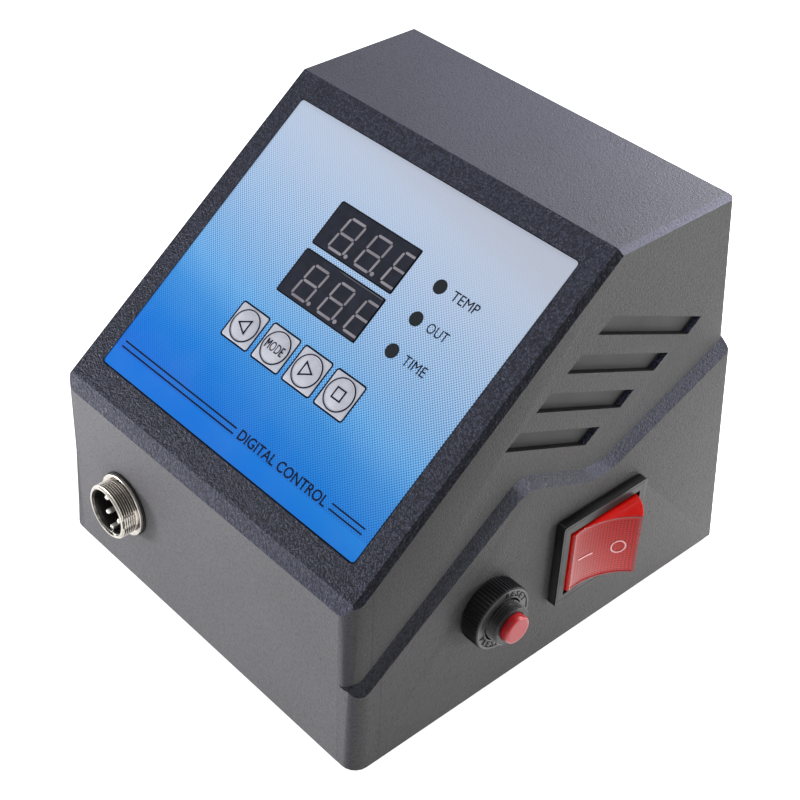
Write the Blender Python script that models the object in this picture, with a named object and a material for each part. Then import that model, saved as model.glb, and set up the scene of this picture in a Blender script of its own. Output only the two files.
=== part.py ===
"""Sloped-front digital time and temperature control box, in metres, +Z up.

The front face looks along -Y, the power switch is on the +X side. Shapes are drawn in box
coordinates: x = 0 midway between the side walls, y = 0 at the front face, z = 0 on the bench.
A parent empty then puts the origin under the middle of the whole object.
"""

import math

import bmesh
import bpy
from mathutils import Matrix, Vector

# Driving dimensions of the housing
TOP_WIDTH = 0.120
STEP_HALF_WIDTH = 0.0634
HEIGHT = 0.1225
FOOT_HEIGHT = 0.002
TOP_DEPTH = 0.1262
FOLD_Y = 0.0841
SLOPE_FOOT_Z = 0.0547
SIDE_DRAFT = 0.0097
BACK_LEAN = 0.131
FRONT_RADIUS = 0.0045
BACK_RADIUS = 0.0012
CHAMFER = 0.0015
BACK_CHAMFER = 0.0008
WALL = 0.003
GAP = 0.0003

# The stepped lower part of the side walls
STEP_FRONT_Z = 0.0283
STEP_PEAK = (0.0552, 0.0688)
STEP_VALLEY = (0.0841, 0.0560)
STEP_RISE = 0.412
STEP_CHAMFER = 0.0030
STEP_PEAK_RADIUS = 0.010
STEP_VALLEY_RADIUS = 0.016

# Blind slots in the side walls
SLOT_COUNT = 4
SLOT_FIRST = (0.0836, 0.1041)
SLOT_PITCH = (-0.0100, -0.0071)
SLOT_LENGTH = 0.0407
SLOT_SHORTER = 0.0024
SLOT_SIDE = 0.0060
SLOT_FALL = math.radians(24)
SLOT_END_TILT = math.radians(36)
SLOT_DEPTH = 0.0018

# Sloped panel
OVERLAY = (0.1042, 0.0903)
OVERLAY_FOOT = 0.0101
OVERLAY_THICK = 0.0004
OVERLAY_SUNK = 0.0002
RECESS = OVERLAY_SUNK + OVERLAY_THICK + GAP
DISPLAY = (0.0314, 0.0141)
DISPLAY_X = -0.00315
DISPLAY_ROWS = (0.0757, 0.06025)
KEY = (0.0104, 0.0104)
KEY_PITCH = 0.01272
KEY_MIDDLE = -0.0003
KEY_ROW = 0.0407
KEY_TRAVEL = 0.0004
KEY_NAMES = ("key_decrease", "key_mode", "key_increase", "key_stop")
LAMP_X = 0.0234
LAMP_ROWS = (0.0773, 0.0673, 0.0573)
LAMP_RADIUS = 0.00205
LAMP_NAMES = ("lamp_temp", "lamp_out", "lamp_time")

# Control board, parallel to the sloped panel
BOARD = (0.096, 0.078)
BOARD_MIDDLE = 0.054
BOARD_THICK = 0.0016
BOARD_TOP = -0.009
BOARD_POST_X = 0.0435
BOARD_POST_Y = 0.0345
POST_RADIUS = 0.003
TACT_BODY = (0.006, 0.0035)

# Rocker switch in the right wall
SWITCH_AT = (0.0846, 0.0347)
SWITCH_BEZEL = (0.0325, 0.0282)
SWITCH_BEZEL_THICK = 0.003
SWITCH_OPENING = (0.0272, 0.022)
SWITCH_BODY = (0.0295, 0.0250, 0.019)
ROCKER_RADIUS = 0.0133
ROCKER_TIP_ANGLE = math.radians(37)
ROCKER_TILT = math.radians(16.5)
ROCKER_PIVOT = -0.0014
ROCKER_SAG = 0.0034
ROCKER_HEIGHT = 0.0213

# Push-to-reset breaker in the right wall
BREAKER_AT = (0.0443, 0.0343)
BREAKER_BLOCK = (0.0150, 0.0260, 0.0240)
BUSHING_RADIUS = 0.0060
BUSHING_END = 0.0093
BUTTON_RADIUS = 0.0041
BUTTON_END = 0.0115
BUTTON_TRAVEL = 0.002
NUT_RADIUS = 0.00955
NUT_END = 0.0061
NUT_TEETH = 40

# Round output connector in the front wall
CONNECTOR_AT = (-0.0336, 0.0284)
BARREL_RADIUS = 0.0081
BARREL_BORE = 0.0070
BARREL_END = 0.0066
BARREL_TAIL = -0.0110
FLANGE_RADIUS = 0.0093
FLANGE_LEVELS = (0.0007, 0.0016)
INSERT_LEVELS = (-0.0090, -0.0026)
PIN_SQUARE = 0.0026
PIN_RADIUS = 0.0009
PIN_LEVELS = (-0.0120, 0.0048)
BACK_NUT_RADIUS = 0.0114

# Mains inlet in the back wall
INLET_AT = (-0.030, 0.030)
INLET_FACE = (0.031, 0.025)
INLET_FLANGE = 0.0026
INLET_BODY = (0.0270, 0.0195, 0.018)
INLET_SOCKET = (0.0236, 0.0160)
INLET_SOCKET_DEPTH = 0.0150
INLET_SOCKET_CORNER = 0.005
INLET_BLADE = (0.0020, 0.0040, 0.0185)
INLET_BLADES = {"line": (-0.007, -0.0022), "neutral": (0.007, -0.0022), "earth": (0.0, 0.0022)}

# Base plate, its screws and feet
BASE_THICK = 0.0025
BASE_LOW = FOOT_HEIGHT + 0.0005
BASE_TOP = BASE_LOW + BASE_THICK
CORNER_X = 0.052
CORNER_FRONT_Y = 0.012
CORNER_REAR_Y = 0.126
COLUMN_RADIUS = 0.004
COLUMN_LEVELS = (0.0042, 0.0280)
COLUMN_WEB = (0.010, 0.003, 0.024)
RUBBER_RADIUS = 0.0050

# Power board and what stands on it
POWER_BOARD = (0.074, 0.062, 0.0016)
POWER_BOARD_AT = (-0.008, 0.070)
POWER_BOARD_LOW = BASE_TOP + 0.004
POWER_DECK = POWER_BOARD_LOW + POWER_BOARD[2] + GAP
LEG_X = (-0.042, 0.026)
LEG_Y = (0.042, 0.098)
TRANSFORMER_AT = (-0.022, 0.062)
CORE = (0.034, 0.028, 0.012)
COIL = (0.0228, 0.034, 0.0200)
SINK = (0.020, 0.012, 0.030)
SINK_AT = (0.016, 0.090)
SINK_FINS = 4
FIN_THICK = 0.0016
SINK_WEB = 0.003
TRIAC = (0.010, 0.0045, 0.0150)
TERMINAL_STRIP = (0.030, 0.010, 0.012)
TERMINAL_AT = (-0.024, 0.094)
TERMINAL_COUNT = 4
TERMINAL_PITCH = 0.0067

PALETTE = {
    "housing_plastic": ((0.060, 0.061, 0.068), 0.55, 0.0),
    "black_plastic": ((0.012, 0.012, 0.014), 0.45, 0.0),
    "rubber": ((0.015, 0.015, 0.015), 0.9, 0.0),
    "steel": ((0.55, 0.55, 0.56), 0.3, 1.0),
    "nickel": ((0.70, 0.68, 0.64), 0.22, 1.0),
    "overlay_film": ((0.12, 0.42, 0.86), 0.3, 0.0),
    "key_silver": ((0.60, 0.62, 0.66), 0.35, 0.4),
    "display_face": ((0.03, 0.03, 0.035), 0.25, 0.0),
    "lamp_lens": ((0.02, 0.03, 0.08), 0.3, 0.0),
    "circuit_board": ((0.02, 0.14, 0.06), 0.5, 0.0),
    "chip": ((0.02, 0.02, 0.02), 0.5, 0.0),
    "core_steel": ((0.16, 0.16, 0.17), 0.5, 0.8),
    "winding_tape": ((0.75, 0.55, 0.12), 0.5, 0.0),
    "aluminium": ((0.62, 0.63, 0.65), 0.35, 1.0),
    "terminal_green": ((0.03, 0.30, 0.10), 0.45, 0.0),
    "rocker_red": ((0.80, 0.03, 0.02), 0.2, 0.0),
    "button_red": ((0.75, 0.03, 0.04), 0.3, 0.0),
    "brass": ((0.80, 0.62, 0.30), 0.3, 1.0),
}


def start_scene():
    """Remove every object of the startup scene and return the parent of the new ones."""
    for obj in list(bpy.data.objects):
        bpy.data.objects.remove(obj, do_unlink=True)
    parent = bpy.data.objects.new("control_box", None)
    bpy.context.scene.collection.objects.link(parent)
    left = -STEP_HALF_WIDTH
    right = STEP_HALF_WIDTH + BUTTON_END
    front = -BARREL_END
    lean = math.atan(BACK_LEAN)
    back = back_y(INLET_AT[1] - FOOT_HEIGHT)
    back += INLET_FACE[1] / 2 * math.sin(lean) + INLET_FLANGE * math.cos(lean)
    parent.location = (-(left + right) / 2, -(front + back) / 2, 0)
    return parent


def make_materials():
    """One Principled material for each entry of the palette."""
    made = {}
    for name, (colour, roughness, metallic) in PALETTE.items():
        material = bpy.data.materials.new(name)
        material.use_nodes = True
        shader = material.node_tree.nodes["Principled BSDF"]
        shader.inputs["Base Color"].default_value = (*colour, 1)
        shader.inputs["Roughness"].default_value = roughness
        shader.inputs["Metallic"].default_value = metallic
        made[name] = material
    return made


def back_y(z):
    """Depth of the leaning back wall at height z above the housing's lower rim."""
    return TOP_DEPTH + (HEIGHT - z) * BACK_LEAN


def half_width(z):
    """Half of the upper housing's width at height z, narrower towards the top."""
    return TOP_WIDTH / 2 + (HEIGHT - z) * SIDE_DRAFT


# ---- Mesh helpers: each returns a bmesh in the coordinates given ----


def loft(sections):
    """Join equally long closed loops of points and cap both ends."""
    bm = bmesh.new()
    rings = [[bm.verts.new(point) for point in section] for section in sections]
    count = len(rings[0])
    for lower, upper in zip(rings, rings[1:]):
        for i in range(count):
            j = (i + 1) % count
            bm.faces.new((lower[i], lower[j], upper[j], upper[i]))
    bm.faces.new(list(reversed(rings[0])))
    bm.faces.new(rings[-1])
    bmesh.ops.recalc_face_normals(bm, faces=bm.faces)
    return bm


def prism(outline, low, high):
    """Extrude an (x, y) outline from z = low to z = high."""
    return loft([[(x, y, level) for x, y in outline] for level in (low, high)])


def turned(profile, sides, closed=False):
    """Turn an (r, z) profile about Z. A closed profile makes a ring, an open one is capped."""
    bm = bmesh.new()
    rings = []
    for radius, z in profile:
        angles = [2 * math.pi * k / sides for k in range(sides)]
        ring = [bm.verts.new((radius * math.cos(a), radius * math.sin(a), z)) for a in angles]
        rings.append(ring)
    pairs = list(zip(rings, rings[1:]))
    if closed:
        pairs.append((rings[-1], rings[0]))
    for first, second in pairs:
        for i in range(sides):
            j = (i + 1) % sides
            bm.faces.new((first[i], first[j], second[j], second[i]))
    if not closed:
        bm.faces.new(rings[0])
        bm.faces.new(rings[-1])
    bmesh.ops.recalc_face_normals(bm, faces=bm.faces)
    return bm


def block(size, centre=(0, 0, 0), bevel=0.0):
    """A box of the given size, its edges chamfered by bevel."""
    bm = bmesh.new()
    bmesh.ops.create_cube(bm, size=1)
    bmesh.ops.scale(bm, vec=size, verts=bm.verts)
    if bevel:
        bmesh.ops.bevel(
            bm, geom=bm.edges[:], offset=bevel, segments=1, affect="EDGES", clamp_overlap=True
        )
    bmesh.ops.translate(bm, vec=centre, verts=bm.verts)
    return bm


def rectangle(width, height, radius=0.0, steps=3, centre=(0, 0)):
    """Outline of a rectangle with rounded corners, anticlockwise."""
    points = []
    for quarter, (sx, sy) in enumerate(((1, 1), (-1, 1), (-1, -1), (1, -1))):
        cx = centre[0] + sx * (width / 2 - radius)
        cy = centre[1] + sy * (height / 2 - radius)
        if not radius:
            points.append((cx, cy))
            continue
        for step in range(steps + 1):
            angle = math.pi / 2 * (quarter + step / steps)
            points.append((cx + radius * math.cos(angle), cy + radius * math.sin(angle)))
    return points


def rounded_path(points, radii, steps):
    """An open path whose inner corners are replaced by arcs of the given radii."""
    path = [points[0]]
    for before, corner, after, radius in zip(points, points[1:], points[2:], radii):
        here = Vector(corner)
        back = (Vector(before) - here).normalized()
        ahead = (Vector(after) - here).normalized()
        half_angle = math.acos(max(-1, min(1, back.dot(ahead)))) / 2
        reach = radius / math.tan(half_angle)
        centre = here + (back + ahead).normalized() * (radius / math.sin(half_angle))
        start = (here + back * reach - centre).normalized()
        end = (here + ahead * reach - centre).normalized()
        for step in range(steps + 1):
            path.append(tuple(centre + start.slerp(end, step / steps) * radius))
    path.append(points[-1])
    return path


def joined(parts):
    """Put separate closed meshes into one bmesh, as one cutter."""
    whole = bmesh.new()
    for part in parts:
        mesh = bpy.data.meshes.new("joined")
        part.to_mesh(mesh)
        part.free()
        whole.from_mesh(mesh)
        bpy.data.meshes.remove(mesh)
    return whole


def moved(bm, matrix):
    """The bmesh after a transform."""
    bmesh.ops.transform(bm, matrix=matrix, verts=bm.verts)
    return bm


def cut_plane(bm, point, normal):
    """Take away what lies beyond a plane from a convex mesh and close the cut."""
    geometry = bm.verts[:] + bm.edges[:] + bm.faces[:]
    cut = bmesh.ops.bisect_plane(
        bm, geom=geometry, plane_co=point, plane_no=normal, clear_outer=True, dist=1e-7
    )
    rim = [item for item in cut["geom_cut"] if isinstance(item, bmesh.types.BMEdge)]
    bmesh.ops.edgeloop_fill(bm, edges=rim)
    bmesh.ops.recalc_face_normals(bm, faces=bm.faces)


# ---- Placement frames ----


def frame_from_axes(origin, x_axis, y_axis, z_axis):
    """A matrix whose columns are the given axes and origin."""
    columns = [Vector(axis).normalized() for axis in (x_axis, y_axis, z_axis)]
    matrix = Matrix([(columns[0][i], columns[1][i], columns[2][i]) for i in range(3)]).to_4x4()
    matrix.translation = origin
    return matrix


def panel_frame():
    """On the sloped panel: X to the right, Y up the slope, Z out of it."""
    angle = math.atan2(HEIGHT - SLOPE_FOOT_Z, FOLD_Y)
    lift = Matrix.Translation((0, 0, FOOT_HEIGHT + SLOPE_FOOT_Z))
    return lift @ Matrix.Rotation(angle, 4, "X")


def front_frame(x, z):
    """On the front wall: X to the right, Y up, Z out towards -Y."""
    return frame_from_axes((x, 0, z), (1, 0, 0), (0, 0, 1), (0, -1, 0))


def side_frame(y, z):
    """On the right wall: X towards the back, Y up, Z out towards +X."""
    return frame_from_axes((STEP_HALF_WIDTH, y, z), (0, 1, 0), (0, 0, 1), (1, 0, 0))


def back_frame(x, z):
    """On the leaning back wall: X towards -X, Y up the wall, Z out of it."""
    origin = (x, back_y(z - FOOT_HEIGHT), z)
    return frame_from_axes(origin, (-1, 0, 0), (0, -BACK_LEAN, 1), (0, 1, BACK_LEAN))


def lifted(z):
    """A frame in box coordinates raised by z."""
    return Matrix.Translation((0, 0, z))


class Workshop:
    """Makes the objects, with their materials and their common parent."""

    def __init__(self):
        self.parent = start_scene()
        self.materials = make_materials()

    def add(self, name, bm, material, place=None, sharp=35):
        """A visible sub-part."""
        mesh = bpy.data.meshes.new(name)
        bm.to_mesh(mesh)
        bm.free()
        mesh.shade_smooth()
        mesh.set_sharp_from_angle(angle=math.radians(sharp))
        mesh.materials.append(self.materials[material])
        obj = bpy.data.objects.new(name, mesh)
        bpy.context.scene.collection.objects.link(obj)
        obj.parent = self.parent
        if place is not None:
            obj.matrix_basis = place
        return obj

    def cutter(self, name, bm, place=None):
        """A hidden mesh for a Boolean."""
        obj = self.add(name, bm, "steel", place)
        obj.hide_render = True
        obj.display_type = "WIRE"
        return obj

    def combine(self, obj, other, operation):
        """Add a Boolean modifier with the exact solver."""
        modifier = obj.modifiers.new(other.name, "BOOLEAN")
        modifier.operation = operation
        modifier.solver = "EXACT"
        modifier.object = other


# ---- Housing ----


def plan_outline(z, half, inset, setback=0.0):
    """Outline of the housing at height z: rounded front corners, smaller back ones."""
    side = half - inset
    front = inset + setback
    back = back_y(z) - inset - setback
    front_radius = FRONT_RADIUS - inset
    back_radius = max(BACK_RADIUS - inset, 0.001)
    corners = (
        (side - back_radius, back - back_radius, back_radius, 0),
        (-side + back_radius, back - back_radius, back_radius, 1),
        (-side + front_radius, front + front_radius, front_radius, 2),
        (side - front_radius, front + front_radius, front_radius, 3),
    )
    points = []
    steps = 5
    for cx, cy, radius, quarter in corners:
        for step in range(steps + 1):
            angle = math.pi / 2 * (quarter + step / steps)
            points.append((cx + radius * math.cos(angle), cy + radius * math.sin(angle), z))
    return points


def upper_body(inset, floor):
    """The convex housing above its step: side walls, slope, flat top and their chamfers."""
    levels = (floor, HEIGHT - inset)
    bm = loft([plan_outline(z, half_width(z), inset) for z in levels])
    slope = Vector((0, -(HEIGHT - SLOPE_FOOT_Z), FOLD_Y)).normalized()
    foot = Vector((0, 0, SLOPE_FOOT_Z))
    cut_plane(bm, foot - slope * inset, slope)
    if inset:
        return bm
    edge_depth = CHAMFER / math.sqrt(2)
    for side in (-1, 1):
        wall = Vector((side, 0, SIDE_DRAFT)).normalized()
        for face, point in ((slope, foot), (Vector((0, 0, 1)), Vector((0, 0, HEIGHT)))):
            at = Vector((side * half_width(point.z), point.y, point.z))
            normal = (wall + face).normalized()
            cut_plane(bm, at - normal * edge_depth, normal)
    normal = (slope + Vector((0, -1, 0))).normalized()
    cut_plane(bm, foot - normal * CHAMFER * 0.75, normal)
    normal = Vector((0, 1, 1)).normalized()
    cut_plane(bm, Vector((0, TOP_DEPTH, HEIGHT)) - normal * BACK_CHAMFER / math.sqrt(2), normal)
    return bm


def step_line(drop):
    """The step's edge as a (y, z) path, lowered by drop square to each straight stretch."""
    front = (-0.02, STEP_FRONT_Z - 0.02 * (STEP_PEAK[1] - STEP_FRONT_Z) / STEP_PEAK[0])
    end_y = back_y(0) + 0.02
    end = (end_y, STEP_VALLEY[1] + STEP_RISE * (end_y - STEP_VALLEY[0]))
    corners = [Vector(point) for point in (front, STEP_PEAK, STEP_VALLEY, end)]
    ways = [(b - a).normalized() for a, b in zip(corners, corners[1:])]
    downs = [Vector((way.y, -way.x)) for way in ways]
    lowered = [corners[0] + downs[0] * drop]
    for corner, before, after in zip(corners[1:], downs, downs[1:]):
        middle = (before + after).normalized()
        lowered.append(corner + middle * (drop / middle.dot(before)))
    lowered.append(corners[3] + downs[2] * drop)
    radii = (STEP_PEAK_RADIUS - drop, STEP_VALLEY_RADIUS + drop)
    return rounded_path([tuple(point) for point in lowered], radii, 6)


def step_slab(inset):
    """Everything below the step: its edge slopes down from the upper to the lower wall."""
    inner = half_width(STEP_VALLEY[1]) - 0.0004 - inset
    outer = STEP_HALF_WIDTH - inset
    beyond = outer + 0.001
    sunk = inset * 1.4
    upper = step_line(sunk)
    lower = step_line(sunk + STEP_CHAMFER * (beyond - inner) / (outer - inner))
    sections = []
    for x, line in ((-beyond, lower), (-inner, upper), (inner, upper), (beyond, lower)):
        loop = [(x, y, z) for y, z in line]
        loop.append((x, line[-1][0], -0.01))
        loop.append((x, line[0][0], -0.01))
        sections.append(loop)
    return loft(sections)


def lower_plan(inset, floor):
    """The wider footprint of the housing below its step, a hair inside the front and back walls."""
    levels = (floor, STEP_PEAK[1] + 0.02)
    return loft([plan_outline(z, STEP_HALF_WIDTH, inset, 0.00005) for z in levels])


def slot_cutter():
    """The blind slots of both side walls."""
    parts = []
    fall = Vector((math.cos(SLOT_FALL), -math.sin(SLOT_FALL)))
    end = Vector((-math.cos(SLOT_END_TILT), -math.sin(SLOT_END_TILT))) * SLOT_SIDE
    for row in range(SLOT_COUNT):
        first = Vector(SLOT_FIRST) + Vector(SLOT_PITCH) * row
        run = fall * (SLOT_LENGTH - SLOT_SHORTER * row)
        corners = (first, first + end, first + end + run, first + run)
        for side in (-1, 1):
            sections = []
            for depth in (-SLOT_DEPTH, 0.002):
                loop = [(side * (half_width(c.y) + depth), c.x, c.y) for c in corners]
                sections.append(loop)
            parts.append(loft(sections))
    whole = joined(parts)
    bmesh.ops.recalc_face_normals(whole, faces=whole.faces)
    return whole


def board_posts():
    """Centres of the four posts that hold the control board, in the panel's frame."""
    return [
        (side * BOARD_POST_X, BOARD_MIDDLE + end * BOARD_POST_Y)
        for end in (-1, 1)
        for side in (-1, 1)
    ]


def corner_places():
    """Centres of the four screw columns and feet, in plan."""
    return {
        "front_left": (-CORNER_X, CORNER_FRONT_Y),
        "front_right": (CORNER_X, CORNER_FRONT_Y),
        "rear_left": (-CORNER_X, CORNER_REAR_Y),
        "rear_right": (CORNER_X, CORNER_REAR_Y),
    }


def disc(radius, low, high, at, sides=16):
    """An upright cylinder centred at (x, y)."""
    bm = turned([(radius, high), (radius, low)], sides)
    bmesh.ops.translate(bm, vec=(at[0], at[1], 0), verts=bm.verts)
    return bm


def housing(shop):
    """The one-piece moulding: walls, slope and top, open at the bottom."""
    shell = shop.add("housing_shell", upper_body(0, -0.004), "housing_plastic", lifted(FOOT_HEIGHT))
    lower = shop.cutter("lower_outside", lower_plan(0, -0.006), lifted(FOOT_HEIGHT))
    slab = shop.cutter("lower_slab", step_slab(0), lifted(FOOT_HEIGHT))
    shop.combine(lower, slab, "INTERSECT")
    shop.combine(shell, lower, "UNION")
    under = shop.cutter("under_rim", block((0.2, 0.3, 0.02), (0, 0.07, -0.01)), lifted(FOOT_HEIGHT))
    shop.combine(shell, under, "DIFFERENCE")
    hollow = shop.cutter("upper_hollow", upper_body(WALL, -0.01), lifted(FOOT_HEIGHT))
    shop.combine(shell, hollow, "DIFFERENCE")
    wide = shop.cutter("lower_hollow", lower_plan(WALL, -0.008), lifted(FOOT_HEIGHT))
    wide_slab = shop.cutter("hollow_slab", step_slab(WALL), lifted(FOOT_HEIGHT))
    shop.combine(wide, wide_slab, "INTERSECT")
    shop.combine(shell, wide, "DIFFERENCE")

    panel = panel_frame()
    post_top = -WALL + 0.001
    posts = [disc(POST_RADIUS, BOARD_TOP + GAP, post_top, at, 12) for at in board_posts()]
    shop.combine(shell, shop.cutter("board_posts", joined(posts), panel), "UNION")
    columns = []
    for at in corner_places().values():
        outwards = math.copysign(COLUMN_WEB[0] / 2, at[0])
        web_middle = sum(COLUMN_LEVELS) / 2
        columns.append(block(COLUMN_WEB, (at[0] + outwards, at[1], web_middle)))
        columns.append(disc(COLUMN_RADIUS, *COLUMN_LEVELS, at, 12))
    for index, name in enumerate(corner_places()):
        web = shop.cutter(f"column_web_{name}", columns[2 * index], lifted(FOOT_HEIGHT))
        post = shop.cutter(f"column_{name}", columns[2 * index + 1], lifted(FOOT_HEIGHT))
        shop.combine(web, post, "UNION")
        shop.combine(shell, web, "UNION")
    pilots = [disc(0.0013, 0.0, 0.020, at, 8) for at in corner_places().values()]
    shop.combine(shell, shop.cutter("pilot_holes", joined(pilots), lifted(FOOT_HEIGHT)), "DIFFERENCE")

    shop.combine(shell, shop.cutter("slots", slot_cutter(), lifted(FOOT_HEIGHT)), "DIFFERENCE")
    recess = prism(
        rectangle(OVERLAY[0] + 2 * GAP, OVERLAY[1] + 2 * GAP, 0.0012, 3, (0, overlay_middle())),
        -RECESS,
        0.01,
    )
    shop.combine(shell, shop.cutter("overlay_recess", recess, panel), "DIFFERENCE")
    shop.combine(shell, shop.cutter("panel_holes", panel_holes(), panel), "DIFFERENCE")
    wall_holes(shop, shell)
    return shell


def overlay_middle():
    """How far up the slope the middle of the overlay is."""
    return OVERLAY_FOOT + OVERLAY[1] / 2


def panel_holes():
    """Openings through the sloped wall for the displays, key stems and lamps."""
    width = DISPLAY[0] + 0.001
    top = DISPLAY_ROWS[0] + DISPLAY[1] / 2 + 0.0005
    foot = DISPLAY_ROWS[1] - DISPLAY[1] / 2 - 0.0005
    window = rectangle(width, top - foot, 0, 1, (DISPLAY_X, (top + foot) / 2))
    parts = [prism(window, -0.006, 0.004)]
    for index in range(len(KEY_NAMES)):
        parts.append(disc(0.0028, -0.006, 0.004, (key_x(index), KEY_ROW), 12))
    for row in LAMP_ROWS:
        parts.append(disc(LAMP_RADIUS + 0.0004, -0.006, 0.004, (LAMP_X, row), 12))
    return joined(parts)


def key_x(index):
    """The x position of a key."""
    return KEY_MIDDLE + (index - (len(KEY_NAMES) - 1) / 2) * KEY_PITCH


def wall_holes(shop, shell):
    """Cut-outs for the switch, the breaker, the connector and the mains inlet."""
    switch = prism(rectangle(SWITCH_BODY[0] + 0.0008, SWITCH_BODY[1] + 0.0008), -0.008, 0.004)
    breaker = disc(BUSHING_RADIUS + GAP, -0.008, 0.004, (0, 0), 24)
    connector = disc(BARREL_RADIUS + GAP, -0.008, 0.004, (0, 0), 28)
    inlet = prism(rectangle(INLET_BODY[0] + 0.0008, INLET_BODY[1] + 0.0008), -0.008, 0.004)
    for name, bm, place in (
        ("switch_hole", switch, side_frame(*SWITCH_AT)),
        ("breaker_hole", breaker, side_frame(*BREAKER_AT)),
        ("connector_hole", connector, front_frame(*CONNECTOR_AT)),
        ("inlet_hole", inlet, back_frame(*INLET_AT)),
    ):
        shop.combine(shell, shop.cutter(name, bm, place), "DIFFERENCE")


def base(shop):
    """Base plate inside the lower rim, its screws and the rubber feet."""
    low = BASE_LOW
    outline = [(x, y) for x, y, _ in plan_outline(BASE_TOP, STEP_HALF_WIDTH, WALL + GAP)]
    plate = shop.add("base_plate", prism(outline, low, BASE_TOP), "housing_plastic")
    holes = [disc(0.0018, -0.01, 0.02, at, 10) for at in corner_places().values()]
    seats = []
    for at in corner_places().values():
        seats.append(disc(0.0032, -0.01, low + 0.0010, at, 12))
    shop.combine(plate, shop.cutter("plate_holes", joined(holes)), "DIFFERENCE")
    shop.combine(plate, shop.cutter("plate_seats", joined(seats)), "DIFFERENCE")
    for name, at in corner_places().items():
        profile = [(0.0011, 0.0170), (0.0011, 0.0007), (0.0028, 0.0007), (0.0024, -0.0004)]
        screw = turned([(r, z + low) for r, z in profile], 10)
        bmesh.ops.translate(screw, vec=(at[0], at[1], 0), verts=screw.verts)
        shop.add(f"base_screw_{name}", screw, "steel")
        foot_at = (at[0] * 0.86, at[1] + math.copysign(0.009, 0.07 - at[1]))
        worn = RUBBER_RADIUS - 0.0005
        rubber = turned([(worn, FOOT_HEIGHT + 0.0002), (RUBBER_RADIUS, 0.0006), (worn, 0)], 20)
        bmesh.ops.translate(rubber, vec=(foot_at[0], foot_at[1], 0), verts=rubber.verts)
        shop.add(f"rubber_foot_{name}", rubber, "rubber")


# ---- Sloped panel and control board ----


def overlay_and_keys(shop):
    """The printed film in its recess and the four embossed keys that press through it."""
    panel = panel_frame()
    top = -OVERLAY_SUNK
    outline = rectangle(*OVERLAY, 0.001, 3, (0, overlay_middle()))
    film = shop.add("panel_overlay", prism(outline, top - OVERLAY_THICK, top), "overlay_film", panel)
    parts = []
    for index in range(len(KEY_NAMES)):
        hole = rectangle(KEY[0] + 2 * GAP, KEY[1] + 2 * GAP, 0.001, 2, (key_x(index), KEY_ROW))
        parts.append(prism(hole, -0.005, 0.005))
    shop.combine(film, shop.cutter("key_openings", joined(parts), panel), "DIFFERENCE")
    for index, name in enumerate(KEY_NAMES):
        pad = prism(rectangle(*KEY, 0.0008, 2), -0.0002, 0.0003)
        key = shop.add(name, pad, "key_silver", panel @ Matrix.Translation((key_x(index), KEY_ROW, 0)))
        dome = turned(
            [(0.0015, 0.0010), (0.0030, 0.0008), (0.0042, 0.0001), (0.0018, 0.0000), (0.0018, -0.0056)],
            16,
        )
        tool = shop.cutter(f"{name}_dome", dome, key.matrix_basis)
        shop.combine(key, tool, "UNION")


def control_board(shop):
    """The board behind the slope with its displays, lamps, tact switches and chips."""
    panel = panel_frame()
    bottom = BOARD_TOP - BOARD_THICK
    plate = prism(rectangle(*BOARD, 0.001, 2, (0, BOARD_MIDDLE)), bottom, BOARD_TOP)
    board = shop.add("control_board", plate, "circuit_board", panel)
    holes = [disc(0.0016, -0.02, 0, at, 8) for at in board_posts()]
    shop.combine(board, shop.cutter("board_holes", joined(holes), panel), "DIFFERENCE")
    for number, at in enumerate(board_posts(), 1):
        profile = [(0.0012, BOARD_TOP + 0.0002), (0.0012, bottom - GAP), (0.0026, bottom - GAP)]
        profile.append((0.0022, bottom - 0.0020))
        screw = turned(profile, 10)
        bmesh.ops.translate(screw, vec=(at[0], at[1], 0), verts=screw.verts)
        shop.add(f"board_screw_{number}", screw, "steel", panel)
    stand = BOARD_TOP + GAP
    for name, row in zip(("display_upper", "display_lower"), DISPLAY_ROWS):
        module = prism(rectangle(DISPLAY[0], DISPLAY[1], 0.0003, 1, (DISPLAY_X, row)), stand, -0.0010)
        shop.add(name, module, "display_face", panel)
    for name, row in zip(LAMP_NAMES, LAMP_ROWS):
        profile = [(0.0008, -0.0010), (0.0017, -0.0016), (LAMP_RADIUS, -0.0032)]
        profile += [(LAMP_RADIUS, -0.0076), (0.0027, -0.0076), (0.0027, stand)]
        lamp = turned(profile, 14)
        bmesh.ops.translate(lamp, vec=(LAMP_X, row, 0), verts=lamp.verts)
        shop.add(name, lamp, "lamp_lens", panel)
    for index in range(len(KEY_NAMES)):
        width, height = TACT_BODY
        at = (key_x(index), KEY_ROW, stand + height / 2)
        tact = shop.add(f"tact_switch_{index + 1}", block((width, width, height), at), "chip", panel)
        well = disc(0.0021, stand + height - 0.0014, 0, at[:2], 10)
        shop.combine(tact, shop.cutter(f"tact_well_{index + 1}", well, panel), "DIFFERENCE")
    back = bottom - GAP
    chip = block((0.0075, 0.0178, 0.0035), (-0.028, 0.058, back - 0.00175))
    shop.add("microcontroller", chip, "chip", panel)
    buzzer = turned([(0.006, back), (0.006, back - 0.0075), (0.0045, back - 0.0085)], 20)
    bmesh.ops.translate(buzzer, vec=(0.026, 0.060, 0), verts=buzzer.verts)
    shop.add("buzzer", buzzer, "black_plastic", panel)


# ---- Power side ----


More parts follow.
